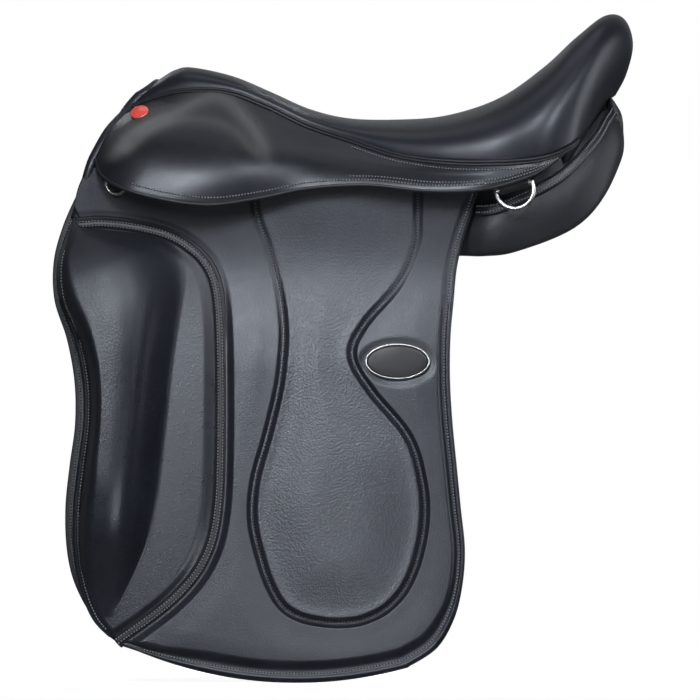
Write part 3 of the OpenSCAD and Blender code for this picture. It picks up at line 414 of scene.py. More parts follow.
def sew(name, rows, body="saddle", bend=False, thread=THREAD):
    """Stitching on both sides: threads, and a dark matte line under them that is painted shade of the needle
    holes. A row is a path and its normals.
    """
    pair(f"{name}_stitching", join(*[stitches(*row) for row in rows]), thread, body, (), bend)
    # Dark cord just under each row: painted shade of the needle holes.
    lines = [tube(path - unit(normal) * 0.15, 0.6, 6) for path, normal in rows]
    pair(f"{name}_needle_line", join(*lines), STITCH_SHADE, body, (), bend)


FLAP_BODY = "flap_body_{}"

# Seat

SEAT_FRONT, SEAT_LENGTH, SEAT_HALF = -196.0, 452.0, 143.0
EDGE_LOW, EDGE_POMMEL, EDGE_CANTLE = 5.0, 75.0, 66.0
SEAT_LOW, POMMEL, CANTLE = 46.0, 94.0, 143.0
# Shares along the seat: its edge's X, half width and rise to the pommel and the cantle, its middle's X and rises
SEAT_RIBS = np.array([
    [0.002, 0.28, 0.78, 0.00, 0.055, 0.785, 0.00], [0.055, 0.32, 0.91, 0.00, 0.084, 0.945, 0.00],
    [0.115, 0.37, 0.98, 0.00, 0.119, 0.990, 0.00], [0.195, 0.43, 0.96, 0.00, 0.201, 0.820, 0.00],
    [0.274, 0.49, 0.77, 0.00, 0.279, 0.514, 0.00], [0.354, 0.56, 0.52, 0.00, 0.354, 0.204, 0.00],
    [0.434, 0.66, 0.34, 0.00, 0.434, 0.030, 0.00], [0.533, 0.81, 0.13, 0.00, 0.529, 0.000, 0.01],
    [0.633, 0.93, 0.03, 0.03, 0.628, 0.000, 0.07], [0.732, 1.00, 0.00, 0.06, 0.732, 0.000, 0.25],
    [0.812, 0.97, 0.00, 0.11, 0.822, 0.000, 0.55], [0.867, 0.85, 0.00, 0.26, 0.887, 0.000, 0.83],
    [0.898, 0.70, 0.00, 0.45, 0.941, 0.000, 0.99], [0.920, 0.52, 0.00, 0.66, 0.983, 0.000, 0.94],
    [0.938, 0.34, 0.00, 0.84, 1.000, 0.000, 0.71], [0.951, 0.19, 0.00, 0.96, 0.987, 0.000, 0.43],
    [0.958, 0.09, 0.00, 1.00, 0.965, 0.000, 0.23]])


def seat_edge(k):
    r = spline(SEAT_RIBS, k)
    high = EDGE_LOW + (EDGE_POMMEL - EDGE_LOW) * r[..., 2] + (EDGE_CANTLE - EDGE_LOW) * r[..., 3]
    return np.stack([SEAT_FRONT + SEAT_LENGTH * r[..., 0], SEAT_HALF * r[..., 1], high], -1)


def seat_point(k, a):
    """Point of the seat at place k along it and turn a across it, 0 at the right edge and 180 at the left."""
    k, a = same_shape(k, np.radians(a))
    r = spline(SEAT_RIBS, k)
    e = seat_edge(k)
    c = np.stack([SEAT_FRONT + SEAT_LENGTH * r[..., 4], 0 * k,
                  SEAT_LOW + (POMMEL - SEAT_LOW) * r[..., 5] + (CANTLE - SEAT_LOW) * r[..., 6]], -1)
    full = 1 + 0.08 * np.sin(2 * a) ** 2
    rise = np.sin(a) * full
    dish = 6 * ease(0.4, 0.6, k) * (1 - ease(0.68, 0.8, k)) * np.sin(a) ** 10
    return np.stack([mix(e[..., 0], c[..., 0], rise), e[..., 1] * np.cos(a) * full,
                     mix(e[..., 2], c[..., 2], rise) - dish], -1)


def seat_normal(k, a):
    k, a = same_shape(k, a)
    return unit(np.cross(seat_point(k, a + 1) - seat_point(k, a - 1),
                         seat_point(np.minimum(k + 0.004, 1), a) - seat_point(np.maximum(k - 0.004, 0), a)))


def seat_inside(k, a, depth):
    return seat_point(k, a) - seat_normal(k, a) * depth


TREE_DEPTH = 27.3  # from the seat's surface to the tree
RIB_STEPS = 28  # in which the foam's and the webs' ends are counted


def make_seat():
    k, a = lattice(170, 91, (0, 1), (0, 180))
    piece("seat_skin", shell(seat_point(k, a), seat_inside(k, a, 2.5), 2), SMOOTH,
          stands_for=["seat_cover"])
    k, a = lattice(60, 50, (1, 23), (26, 154))
    k = k / RIB_STEPS
    piece("seat_padding", shell(seat_inside(k, a, 2.9), seat_inside(k, a, 16.9)), FOAM,
          stands_for=["seat_foam"])
    strips = []
    for ribs, turns, above_tree in (((4, 18), (78, 102), 0.9), ((9, 11), (66, 114), 2.9)):
        k, a = lattice(40, 12, ribs, turns)
        k, at = k / RIB_STEPS, TREE_DEPTH + above_tree
        strips.append(shell(seat_inside(k, a, at), seat_inside(k, a, at + 1.6)))
    piece("seat_webbing", join(*strips), WEB, stands_for=["seat_webs"])


# Skirts

SKIRT_END = 11 / 16
SKIRT_RIBS = np.array([
    [-0.074, 0.66, -0.35, 0.40], [-0.062, 0.78, 0.12, 0.75], [-0.020, 0.85, 0.50, 0.95],
    [0.062, 0.90, 0.84, 1.00], [0.155, 0.92, 1.00, 1.00], [0.250, 0.905, 0.82, 0.80],
    [0.350, 0.895, 0.52, 0.45], [0.469, 0.915, 0.42, 0.25], [0.593, 0.975, 0.59, 0.18],
    [0.708, 1.030, 0.52, 0.12], [0.801, 0.995, 0.12, 0.08], [0.863, 0.880, -0.35, 0.04]])
SKIRT_DROP, SKIRT_SWELL, SKIRT_THICK, SKIRT_FLARE, SEAT_WELT = 30.6, 20.0, 6.0, 18.0, 4.0
SKIRT_TAIL, TAIL_TAPER = 1.06, 0.92


def skirt_frame(k):
    """The skirt's upper and lower edge at k, its directions and swell; past k = 1 it runs out to a point."""
    b = seat_edge(k * SKIRT_END)
    r = spline(SKIRT_RIBS, k)
    e = np.stack([SEAT_FRONT + SEAT_LENGTH * r[..., 0], SEAT_HALF * r[..., 1], -SKIRT_DROP * r[..., 2]], -1)
    taper = 1 - TAIL_TAPER * ease(0.90, SKIRT_TAIL, k)
    e = b + (e - seat_edge(np.minimum(k, 1) * SKIRT_END)) * taper[..., None]
    down = unit(e - b)
    out = unit(np.stack([0 * down[..., 0], -down[..., 2], down[..., 1]], -1))
    return b, e, down, out, SKIRT_SWELL * r[..., 3]


def skirt_point(k, c):
    k, c = same_shape(k, c)
    b, e, _, out, swell = skirt_frame(k)
    length = np.linalg.norm(e - b, axis=-1)
    s = mix(np.minimum((SEAT_WELT + 2) / length, 0.6), 1, c)
    form = np.sin(math.pi * s**1.15) - 0.12 * np.sin(2 * math.pi * s)
    p = mix(b, e, s[..., None]) + out * (swell * form)[..., None]
    p[..., 1] += flare(k) * ease(0.5, 1.2, s)
    return p + out * (FOLD_HIGH * skirt_fold(p))[..., None]


def flare(k):
    """How far the skirt's lower edge stands away from the flap."""
    return SKIRT_FLARE * ease(0.02, 0.22, k) * mix(1, 0.5, ease(0.29, 0.5, k)) * (1 - ease(0.7, 0.95, k))


# The fold that arches over the padded front, as X and Z: its crest and the crease below it
FOLD_CREST = np.array([[-214, 8], [-200, 31], [-180, 43], [-162, 51], [-144, 60], [-126, 66], [-112, 63],
                       [-99, 52], [-86, 36], [-78, 18], [-76, 6]], float)
FOLD_CREASE = np.array([[-200, 17], [-180, 36], [-162, 43], [-144, 46], [-122, 44], [-104, 36], [-90, 22],
                        [-80, 8]], float)
FOLD_HIGH = 1.6


def fold_marks(p):
    """Nearness to the fold's crest and to its crease, each 1 on the line."""
    flat = p[..., ::2]
    return [np.exp(-(away_from(spline(line, np.linspace(0, 1, 40)), flat) / wide) ** 2)
            for line, wide in ((FOLD_CREST, 7.5), (FOLD_CREASE, 5.0))]


def skirt_fold(p):
    crest, crease = fold_marks(p)
    return (crest - 0.5 * crease) * ease(2, 24, p[..., 2])


def stretch(p):
    """Share of the painted highlight on the skirt's fold, most at its front: the band that faces the lamps,
    painted lighter.
    """
    crest, crease = fold_marks(p)
    front = mix(0.55, 1, ease(-120, -200, p[..., 0]))
    return np.clip(crest + 0.5 * crease, 0, 1) * front * ease(2, 22, p[..., 2])


def skirt_normal(k, c):
    k, c = same_shape(k, c)
    d = 0.01
    return unit(np.cross(skirt_point(np.minimum(k + d, SKIRT_TAIL), c) - skirt_point(np.maximum(k - d, 0), c),
                         skirt_point(k, np.minimum(c + d, 1)) - skirt_point(k, np.maximum(c - d, 0))))


def skirt_row(first, last, mm, count, start):
    """Path on the skirt with its normals, mm from the edge where c is start."""
    k = np.linspace(first, last, count)
    b, e = skirt_frame(k)[:2]
    c = np.abs(start - mm / np.linalg.norm(e - b, axis=-1))
    return skirt_point(k, c), skirt_normal(k, c)


def make_skirt():
    k, c = lattice(230, 60, (0, SKIRT_TAIL))
    top, n = skirt_point(k, c), skirt_normal(k, c)
    edge = np.minimum((1 - c) * 40, 1)
    thick = SKIRT_THICK * mix(0.55, 1, ease(0, 1, edge)) * (1 - 0.7 * ease(0.9, SKIRT_TAIL, k))
    geo = shell(top, top - n * thick[..., None])
    made = pair("skirt_pad", geo, SKIRT, stands_for=["skirt_{}"])
    # Painted highlight along the fold's crest and crease, which the skirt's material reads.
    mark(made, "stretch", stretch(geo[0]))
    k = np.linspace(0, SKIRT_TAIL, 260)
    rim = skirt_point(k, 1) - skirt_normal(k, 1) * 1.3 + skirt_frame(k)[2] * 0.9
    pair("skirt_piping", tube(rim, 1.8, 10), PIPING)
    sew("skirt", [skirt_row(0.20, 0.97, 5.0, 240, 1), skirt_row(0.60, 0.95, 9.0, 240, 1),
                  skirt_row(0.56, 0.97, 5.0, 160, 0)])
    b, _, down, out, _ = skirt_frame(np.linspace(0, SKIRT_TAIL, 240))
    cords = [tube(b + down * d + out * h, r, 10) for d, h, r in ((1.6, 1.1, 1.5), (4.6, 1.0, 1.45))]
    pair("seat_piping", join(*cords), PIPING, stands_for=["seat_welt_{}"])


POMMEL_FOOT = ((-250, 90, -46), (-245, 91.5, -30), (-240, 92.5, -16), (-235.5, 93.5, -2))


def make_pommel_roll():
    """Roll along the skirt's front edge and over the pommel, from one side to the other."""
    corner = 0.62
    k = np.linspace(0, 1, 90)
    c = np.where(k < corner, 1 - k / corner, 0)
    a = np.where(k < corner, 0, 90 * (k - corner) / (1 - corner))
    low = (k < corner)[:, None]
    p = np.where(low, skirt_point(0, c), seat_point(0, a))
    n = np.where(low, skirt_normal(0, c), seat_normal(0, a))
    edge = np.where(low, skirt_point(0, np.maximum(c - 0.01, 0)) - skirt_point(0, np.minimum(c + 0.01, 1)),
                    seat_point(0, a + 1) - seat_point(0, a - 1))
    half = p - n * 3.0 + unit(np.cross(edge, n)) * 5.6
    foot = spline(np.array([*POMMEL_FOOT, half[0]]), np.linspace(0, 1, 24, endpoint=False))
    half = np.concatenate([foot, half])
    whole = np.concatenate([half, half[-2::-1] * (1, -1, 1)])
    even = np.ones(11) / 11
    path = np.stack([np.convolve(np.pad(x, 5, mode="edge"), even, "valid") for x in whole.T], -1)
    i = np.arange(len(path))
    radius = 5.0 * mix(0.5, 1, ease(0, 26, np.minimum(i, i[::-1])))
    piece("pommel_binding", tube(path, radius, 20), SMOOTH,
          stands_for=["pommel_roll"])


# Flaps

FLAP_FRONT, FLAP_WIDTH, FLAP_LENGTH, BEND_Z = -264.0, 366.0, 421.0, -38.0
# Heights above the flap's back: where the padding starts, its own height, where it ends
BASE, PAD, TOP = 3.9, 8.0, 11.9
PAD_UNDER, FLAP_THICK = 3.6, 3.5
HEM_DROP, FLAP_CURVE = 0.046, 0.00008
FLAP_EDGES = np.array([
    [0.00, 0.050, 0.00, 1.020], [0.06, 0.020, 0.06, 0.997], [0.12, 0.003, 0.12, 0.981],
    [0.19, 0.010, 0.19, 0.973], [0.27, 0.045, 0.27, 0.965], [0.36, 0.067, 0.36, 0.964],
    [0.45, 0.069, 0.45, 0.970], [0.54, 0.056, 0.54, 0.980], [0.63, 0.045, 0.63, 0.990],
    [0.72, 0.046, 0.72, 1.000], [0.80, 0.062, 0.80, 0.993], [0.87, 0.095, 0.87, 0.972],
    [0.915, 0.150, 0.93, 0.930], [0.935, 0.200, 0.97, 0.860]])
LEG_SEAM = np.array([
    [-0.065, 0.476, 0.893], [0.010, 0.490, 0.891], [0.073, 0.516, 0.885], [0.156, 0.542, 0.842],
    [0.242, 0.555, 0.758], [0.306, 0.553, 0.729], [0.380, 0.542, 0.775], [0.477, 0.515, 0.866],
    [0.573, 0.485, 0.901], [0.658, 0.479, 0.907], [0.744, 0.501, 0.888], [0.805, 0.527, 0.857],
    [0.845, 0.558, 0.815], [0.866, 0.600, 0.772], [0.8755, 0.648, 0.736], [0.8785, 0.690, 0.694]])
BLOCK_SEAM = np.array([
    [0.038, 0.028], [0.107, 0.024], [0.180, 0.030], [0.254, 0.044], [0.303, 0.062], [0.352, 0.095],
    [0.382, 0.135], [0.396, 0.188], [0.402, 0.274], [0.404, 0.402], [0.403, 0.530], [0.399, 0.616],
    [0.389, 0.680], [0.372, 0.727], [0.340, 0.776], [0.291, 0.823], [0.230, 0.866], [0.168, 0.904],
    [0.150, 0.915]])
SCALE = np.array([FLAP_WIDTH, FLAP_LENGTH])


def flap_place(k, c):
    k, c = same_shape(k, c)
    r = spline(FLAP_EDGES, k)
    hem = HEM_DROP * np.clip(k, 0, 1) ** 6 * 4 * c * (1 - c)
    return np.stack([mix(r[..., 1], r[..., 3], c), mix(r[..., 0], r[..., 2], c) + hem], -1)


def flap_back(x, d):
    w = (x - (FLAP_FRONT + FLAP_WIDTH / 2)) / (FLAP_WIDTH / 2)
    return (96 + 0.06 * (x + 250) + 0.27 * d - FLAP_CURVE * d * d * np.sign(d)
            - 10 * np.maximum(d, 0) / FLAP_LENGTH * w * w)


def flap_point(place, out):
    x = FLAP_FRONT + FLAP_WIDTH * place[..., 0]
    d = FLAP_LENGTH * place[..., 1]
    return np.stack([x, flap_back(x, d) + out, BEND_Z - d], -1)


FLAP_OUT = unit(np.array([0.0, 1.0, 0.25]))


def crown(s, r):
    k = np.clip(s / r, 0, 1)
    return np.sqrt(np.maximum(0, 1 - (1 - k) ** 2))


def beside_seam(k, mm):
    """Place beside the block's seam, mm away from it on the leg's side."""
    d = (spline(BLOCK_SEAM, np.minimum(k + 0.01, 1)) - spline(BLOCK_SEAM, np.maximum(k - 0.01, 0))) * SCALE
    n = unit(np.stack([d[..., 1], -d[..., 0]], -1))
    return spline(BLOCK_SEAM, k) + n * mm / SCALE


SEAM_GAP = 0.2


def padding(s, floor, first, last, puff=0.10):
    """Share of the padding's height s mm from a seam: a floor, a rise from first to last, a puffed shoulder."""
    return mix(floor, 1, ease(first, last, s)) + puff * np.exp(-((s - last) / 5.0) ** 2)


def below_skirt(place):
    """Share of the padding's height: less below the skirt, and at the front where the ring hangs."""
    x, d = FLAP_FRONT + FLAP_WIDTH * place[..., 0], FLAP_LENGTH * place[..., 1]
    share = 1 - 0.80 * ease(-34, 48, d) * (1 - ease(48, 144, d))
    return share * (1 - 0.55 * (1 - ease(-205, -160, x)) * (1 - ease(0, 50, d)))


def unpolished(v, end=84):
    """1 where the flap lies under the skirt, 0 where the leg has polished it, from end mm below the bend."""
    return 1 - ease(2, end, BEND_Z - v[:, 2])


def soft_min(a, b):
    return (a + b - np.sqrt((a - b) ** 2 + 0.004)) / 2


def inset(path, mm):
    """Path moved mm to the inner side of its outline."""
    d = unit(np.gradient(path * SCALE, axis=0))
    return path + np.stack([d[:, 1], -d[:, 0]], -1) * np.broadcast_to(mm, len(path))[:, None] / SCALE


def leg_line(k):
    """The leg panel's seam: down its front side for k from 0 to 0.5, then up its rear side."""
    r = spline(LEG_SEAM, np.where(k < 0.5, 2 * k, 2 - 2 * k))
    return np.stack([np.where(k < 0.5, r[:, 1], r[:, 2]), r[:, 0]], -1)


def rear_line(k):
    edges = np.concatenate([[[-0.065, 1.045]], FLAP_EDGES[:, 2:]])
    return spline(edges, 1 - k)[:, ::-1]


HALF_STRIP = 5.0  # from the block's seam to the padding on either side of its sewn strip
LEG_LINE = leg_line(np.linspace(0, 1, 260))
BLOCK_LINE = beside_seam(np.linspace(0.02, 0.985, 160), HALF_STRIP)
BLOCK_ROWS = 12  # of the border's line that lie at the block and aren't sewn
BORDER_LINE = np.concatenate([flap_place(np.linspace(0.92, 1, BLOCK_ROWS), 0),
                              flap_place(1, np.linspace(0, 1, 60))[1:],
                              rear_line(np.linspace(0, 1, 160))[1:]])


def leg_height(place):
    s = away_from(LEG_LINE * SCALE, place * SCALE)
    high = PAD * padding(s, 0.42, 2.0, 6.6) + 4.5 * ease(6, 60, s)
    return BASE + high * below_skirt(place)


# The facing's upper edge under the skirt: X, and how far below the bend
TOP_LINE = np.array([[-248, -6], [-243, -24], [-234, -38], [-215, -42], [-190, -36], [-140, -30], [-90, -27]],
                    float)


def facing_paths():
    """Inner and outer edge of the padded facing, row by row, as places on the flap."""
    hem_from, rear_from = 0.43, 0.6
    u = np.linspace(0, 1, 60, endpoint=False)
    t = spline(TOP_LINE, u)
    inner_a = np.stack([(t[:, 0] - FLAP_FRONT) / FLAP_WIDTH, t[:, 1] / FLAP_LENGTH], -1)
    outer_a = beside_seam(mix(0.02, 0.30, u), HALF_STRIP)
    s = np.linspace(0, 1, 380)
    inner_b = inset(leg_line(s), -SEAM_GAP)
    seam = beside_seam(mix(0.30, 0.985, np.clip(s / hem_from, 0, 1)), HALF_STRIP)
    hem = flap_place(1, np.clip((s - hem_from) / (rear_from - hem_from), 0, 1))
    rear = rear_line(np.clip((s - rear_from) / (1 - rear_from), 0, 1))
    outer_b = np.where((s < hem_from)[:, None], seam, np.where((s < rear_from)[:, None], hem, rear))
    return np.concatenate([inner_a, inner_b]), np.concatenate([outer_a, outer_b])


def border_width(place):
    """Width of the sewn border as a multiple of the rear edge's; the hem's is wider, but not at the block."""
    return mix(1.0, 1.7, ease(0.78, 0.94, place[..., 1])) * mix(0.4, 1, ease(0.17, 0.40, place[..., 0]))


def border(e, place):
    """Height of the border e mm from the edge: rolled edge, the stitches' valley, the padding's shoulder."""
    e = e / border_width(place)
    roll = BORDER_FLOOR + 0.22 * np.exp(-((e - 2.0) / 1.3) ** 2) - BORDER_FLOOR * (1 - crown(e, 1.6))
    return roll + (1 - BORDER_FLOOR) * ease(6.0, 12.0, e) + 0.10 * np.exp(-((e - 12.0) / 4.0) ** 2)


BORDER_FLOOR, BORDER_ROW = 0.30, 4.3
BADGE_AT, BADGE_RECESS, BADGE_SINK = np.array([0.838, 0.32]), np.array([31.0, 18.5]), 1.8


def facing_height(place):
    leg, seam, edge = (away_from(line * SCALE, place * SCALE) for line in (LEG_LINE, BLOCK_LINE, BORDER_LINE))
    share = soft_min(padding(leg, 0.42, 0.0, 5.0), padding(seam, 0.42, 0.5, 9.5, 0.12))
    share = soft_min(share, border(edge, place))
    away = np.hypot(*np.moveaxis((place - BADGE_AT) * SCALE / BADGE_RECESS, -1, 0))
    high = PAD * share + 1.5 * ease(4, 34, leg) * ease(4, 34, seam) * ease(4, 34, edge)
    high = high - BADGE_SINK * (1 - ease(0.98, 1.2, away))
    return BASE + high * below_skirt(place)


def make_facing():
    inner, outer = facing_paths()
    t = (0.5 - 0.5 * np.cos(np.linspace(0, math.pi, 64)))[None, :]
    place = mix(inner[:, None], outer[:, None], t[..., None])
    top = flap_point(place, facing_height(place))
    geo = shell(top, flap_point(place, PAD_UNDER), 1)
    made = pair("flap_padding", geo, GRAIN, FLAP_BODY, ["flap_facing_{}"], True)
    mark(made, "dull", unpolished(geo[0]))
    row = inset(BORDER_LINE, BORDER_ROW * border_width(BORDER_LINE))[BLOCK_ROWS:]
    return flap_point(row, facing_height(row)), FLAP_OUT


def make_leg_panel():
    k = np.linspace(0, 1, 200)
    c = (0.5 - 0.5 * np.cos(np.linspace(0, math.pi, 80)))[:, None]
    front, rear = inset(leg_line(k / 2), SEAM_GAP), inset(leg_line(1 - k / 2 - 1e-6), -SEAM_GAP)
    place = mix(front[:, None], rear[:, None], c)
    geo = shell(flap_point(place, leg_height(place)), flap_point(place, PAD_UNDER), 1)
    made = pair("leg_padding", geo, PEBBLE, FLAP_BODY, ["leg_panel_{}"], True)
    mark(made, "dull", unpolished(geo[0]))
    row = inset(LEG_LINE, 1.9)
    return flap_point(row, leg_height(row)), FLAP_OUT


# Sections of the block from top to bottom: where it starts, its ridge, its foot, and its share of the height
BLOCK_FORM = np.array([
    [0.00, 0.10, 0.70, 0.10], [0.00, 0.14, 0.98, 0.60], [0.00, 0.16, 1.02, 0.88], [0.02, 0.16, 0.92, 0.98],
    [0.04, 0.15, 0.79, 1.00], [0.05, 0.15, 0.68, 0.98], [0.05, 0.15, 0.62, 0.95], [0.05, 0.17, 0.595, 0.90],
    [0.04, 0.18, 0.57, 0.74], [0.04, 0.19, 0.52, 0.34], [0.04, 0.20, 0.47, 0.02], [0.05, 0.20, 0.45, 0.00]])
BLOCK_HIGH, WALL_FALL, WALL_FOOT = 44.0, 3.5, 1.9
EDGE_LEAN = ease(-0.25, 1, 0)


def block_place(k, c):
    k, c = same_shape(k, c)
    edge, seam = flap_place(mix(0.02, 0.905, k), 0), beside_seam(mix(0.02, 0.97, k), -HALF_STRIP)
    return mix(edge, seam, c[..., None])


def block_width(k):
    return np.linalg.norm((block_place(k, 1) - block_place(k, 0)) * SCALE, axis=-1)


def block_surface(k, c):
    k, c = same_shape(k, c)
    start, ridge, foot, high = np.moveaxis(spline(BLOCK_FORM, k), -1, 0)
    rise = np.clip((c - start) / (ridge - start), 0, 1)
    fall = np.clip((c - ridge) / (foot - ridge), 0, 1)
    lump = np.maximum(high, 0) * crown(ease(-0.25, 1, rise) - EDGE_LEAN, 1 - EDGE_LEAN)
    lump = lump * (1 - fall**WALL_FALL) ** WALL_FOOT
    flange = 3.4 + 2.6 * ease(0, 11, np.minimum(c, 1 - c) * block_width(k))
    return flap_point(block_place(k, c), BASE + flange + BLOCK_HIGH * lump)


STRIP_EDGE = 6.2


def strip_height(x):
    """Height of the sewn strip beside the block, x mm from its middle line."""
    return 2.6 + 2.4 * (1 - ease(0.6, STRIP_EDGE, np.abs(x)))


def make_block():
    top = block_surface(*lattice(170, 90))
    bottom = top.copy()
    bottom[..., 1] = flap_back(top[..., 0], BEND_Z - top[..., 2]) + PAD_UNDER
    geo = shell(top, bottom, 1)
    made = pair("thigh_block_pad", geo, BLOCK, FLAP_BODY, ["thigh_block_{}"])
    mark(made, "dull", 0.8 * unpolished(geo[0], 150))

    k = np.linspace(0.01, 0.99, 260)
    across = np.linspace(-STRIP_EDGE, STRIP_EDGE, 17)
    place = np.stack([beside_seam(k, x) for x in across], 1)
    geo = shell(flap_point(place, BASE + strip_height(across)), flap_point(place, PAD_UNDER), 1)
    pair("thigh_block_strip", geo, PIPING, FLAP_BODY, ["block_welt_{}"])
    rows = [(flap_point(beside_seam(k, x), BASE + strip_height(x)), FLAP_OUT) for x in (-2.1, 2.1)]
    k = np.linspace(0.10, 0.97, 240)
    rows.append((block_surface(k, 4.0 / block_width(k)), FLAP_OUT))
    sew("thigh_block", rows, FLAP_BODY)


# How far the flap's leather runs on up under the skirt, from front to rear
TOP_RISE = np.array([10, 42, 32, 20, 30, 62, 54, 50, 40, 28, 22], float)[:, None]


def make_flap_back():
    """The flap's own leather, one sheet from under the skirt over the bend line to the hem."""
    c = np.linspace(0, 1, 60)
    rise = spline(TOP_RISE, c)[:, 0]
    rows = [np.stack([mix(0.05 + 0.03 * up * (1 - c), 1.02, c), -up * rise / FLAP_LENGTH], -1)
            for up in np.linspace(1, 0, 10, endpoint=False)]
    place = np.array(rows + [flap_place(k, c) for k in np.linspace(0, 1, 120)])
    geo = shell(flap_point(place, FLAP_THICK), flap_point(place, 0))
    made = pair("flap_leather", geo, GRAIN, FLAP_BODY, ["flap_{}", "flap_top_{}"], True)
    mark(made, "dull", unpolished(geo[0]))


# Front edge of the sweat flap where it runs on up to the pommel
SWEAT_FRONT = np.array([[-226, 75, 20], [-233, 78, 2], [-239, 81, -17], [-245, 83.5, -34], [-252, 86, -52],
                        [-258, 89, -66]], float)
SWEAT_TOP, SWEAT_THICK = -9.0, 3.5
# How far the sweat flap's front and rear edges lie from the flap's, from top to bottom
SWEAT_EDGES = np.array([
    [0.00, 0.14], [0.004, 0.12], [0.010, 0.10], [0.016, 0.09], [0.020, 0.08], [0.020, 0.07], [0.020, 0.06],
    [0.018, 0.06], [0.012, 0.06], [-0.005, 0.06], [-0.02, 0.07]])


def sweat_place(k, c):
    k, c = same_shape(k, c)
    p, q = flap_place(k * 0.94, 0), flap_place(k * 0.94, 1)
    off = spline(SWEAT_EDGES, k)
    hem = HEM_DROP * k**6 * 4 * c * (1 - c)
    return np.stack([mix(p[..., 0] - off[..., 0], q[..., 0] - off[..., 1], c),
                     mix(p[..., 1], q[..., 1], c) - 0.035 * (1 - ease(0, 0.3, k)) + hem * 0.6], -1)


def make_sweat_flap():
    place = sweat_place(*lattice(120, 50))
    sheet = shell(flap_point(place, SWEAT_TOP), flap_point(place, SWEAT_TOP - SWEAT_THICK))
    front = spline(SWEAT_FRONT, np.linspace(0, 1, 40))[:, None]
    c = np.linspace(0, 1, 14)[None, :, None]
    grid = front + c * (34.0, -4.0, 0.0) - np.sin(math.pi * c) * (0, 3.0, 0)
    tongue = shell(grid, grid - (0, SWEAT_THICK, 0))
    pair("sweat_flap_leather", join(sheet, tongue), STRAP, stands_for=["sweat_flap_{}"])
    row = flap_point(sweat_place(np.linspace(0.02, 0.98, 240), 0.012), SWEAT_TOP + 0.1)
    sew("sweat_flap", [(row, FLAP_OUT)])


def make_flap():
    make_flap_back()
    sew("flap", [make_facing()], FLAP_BODY, True)
    # The leg panel's stitches lie in its groove, so they take the thread with painted shade.
    sew("leg_panel", [make_leg_panel()], FLAP_BODY, True, SHADED_THREAD)
    make_block()
    make_sweat_flap()


# Badge and stud

def make_badge():
    right, below = np.array([[0.01, 0], [0, 0.01]])
    x = unit(flap_point(BADGE_AT + right, 0) - flap_point(BADGE_AT - right, 0))
    y = unit(flap_point(BADGE_AT - below, 0) - flap_point(BADGE_AT + below, 0))
    n = unit(np.cross(y, x))
    o = flap_point(BADGE_AT, TOP - 0.4)
    cos, sin = circle(72)

    def oval(wide, high, up):
        return o + x * (wide * cos) + y * (high * sin) + n * up

    profile = [(0.0, -0.6), (0.1, 0.9), (0.0, 1.9), (-0.4, 2.5), (-0.8, 2.7), (-1.2, 2.5), (-1.6, 1.9),
               (-1.7, -0.6)]
    v = np.stack([oval(29 + grow, 16.5 + grow, up) for grow, up in profile], 1).reshape(-1, 3)
    f = grid_faces(len(cos), len(profile), close_i=True, close_j=True)
    pair("badge_frame", (v, outward(v, f)), CHROME, FLAP_BODY, ["badge_rim_{}"])
    profile = [(1.0, 0.0), (1.0, 1.7), (0.96, 2.0), (0.8, 2.25), (0.55, 2.45), (0.25, 2.55)]
    rings = np.stack([oval(27.1 * share, 14.6 * share, up) for share, up in profile])
    pair("badge_face", loft(rings), BLACK, FLAP_BODY, ["badge_plate_{}"])


STUD_AT = (0.095, 0.32)


def make_stud():
    n = unit(skirt_normal(*STUD_AT) + (0, 0.5, 0))
    p = skirt_point(*STUD_AT) + n * 1.6
    a = unit(np.cross(n, (0, 0, 1)))
    b = np.cross(n, a)
    cos, sin = circle(48)
    profile = [(8.2, -2.6), (8.4, 0.9), (8.3, 1.5), (7.9, 1.9), (7.1, 2.1), (6.8, 2.0), (5.8, 2.6),
               (4.0, 3.1), (2.0, 3.35), (0.6, 3.4)]
    rings = np.stack([p + n * up + a * (r * cos) + b * (r * sin) for r, up in profile])
    pair("stud_cap", loft(rings), RED, stands_for=["stud_{}"])


# Panels

def under_rail(k):
    return seat_inside(k, 57.0, TREE_DEPTH + 2.2)


PANEL = np.array([
    ((-204, 32, -6), (-204, 36, 2), (-206, 41, -6), (-212, 66, -72), (-208, 46, -62)),
    ((-175, 30, 6), (-175, 35, 18), (-175, 42, 6), (-178, 70, -88), (-176, 44, -62)),
    ((-140, 30, 12), (-140, 35, 24), (-140, 42, 8), (-142, 69, -92), (-140, 42, -56)),
    ((-90, 30, 24), under_rail(0.212), (-90, 66, 8), (-90, 88, -90), (-90, 40, -48)),
    ((-40, 30, 14), under_rail(0.305), (-40, 84, -2), (-40, 97, -88), (-40, 38, -42)),
    ((0, 30, 8), under_rail(0.370), (0, 87, -8), (0, 96, -86), (0, 37, -40)),
    ((40, 30, 4), under_rail(0.432), (40, 91, -14), (40, 97, -84), (40, 36, -38)),
    ((95, 30, 4), under_rail(0.510), (96, 104, -30), (94, 106, -80), (95, 36, -36)),
    ((125, 30, 10), under_rail(0.552), (126, 124, -33), (122, 118, -80), (125, 35, -34)),
    ((153, 29, 20), under_rail(0.594), (154, 124, -22), (151, 116, -76), (153, 34, -28)),
    ((186, 28, 36), under_rail(0.640), (189, 112, -2), (202, 104, -56), (198, 32, -8)),
    ((212, 26, 46), (210, 40, 60), (216, 88, 27), (230, 84, -26), (226, 30, 12)),
    ((224, 25, 50), (224, 38, 56), (229, 62, 48), (245, 62, 12), (240, 28, 28)),
    ((230, 27, 52), (231, 34, 55), (234, 44, 56), (247, 46, 36), (243, 30, 42))], float)


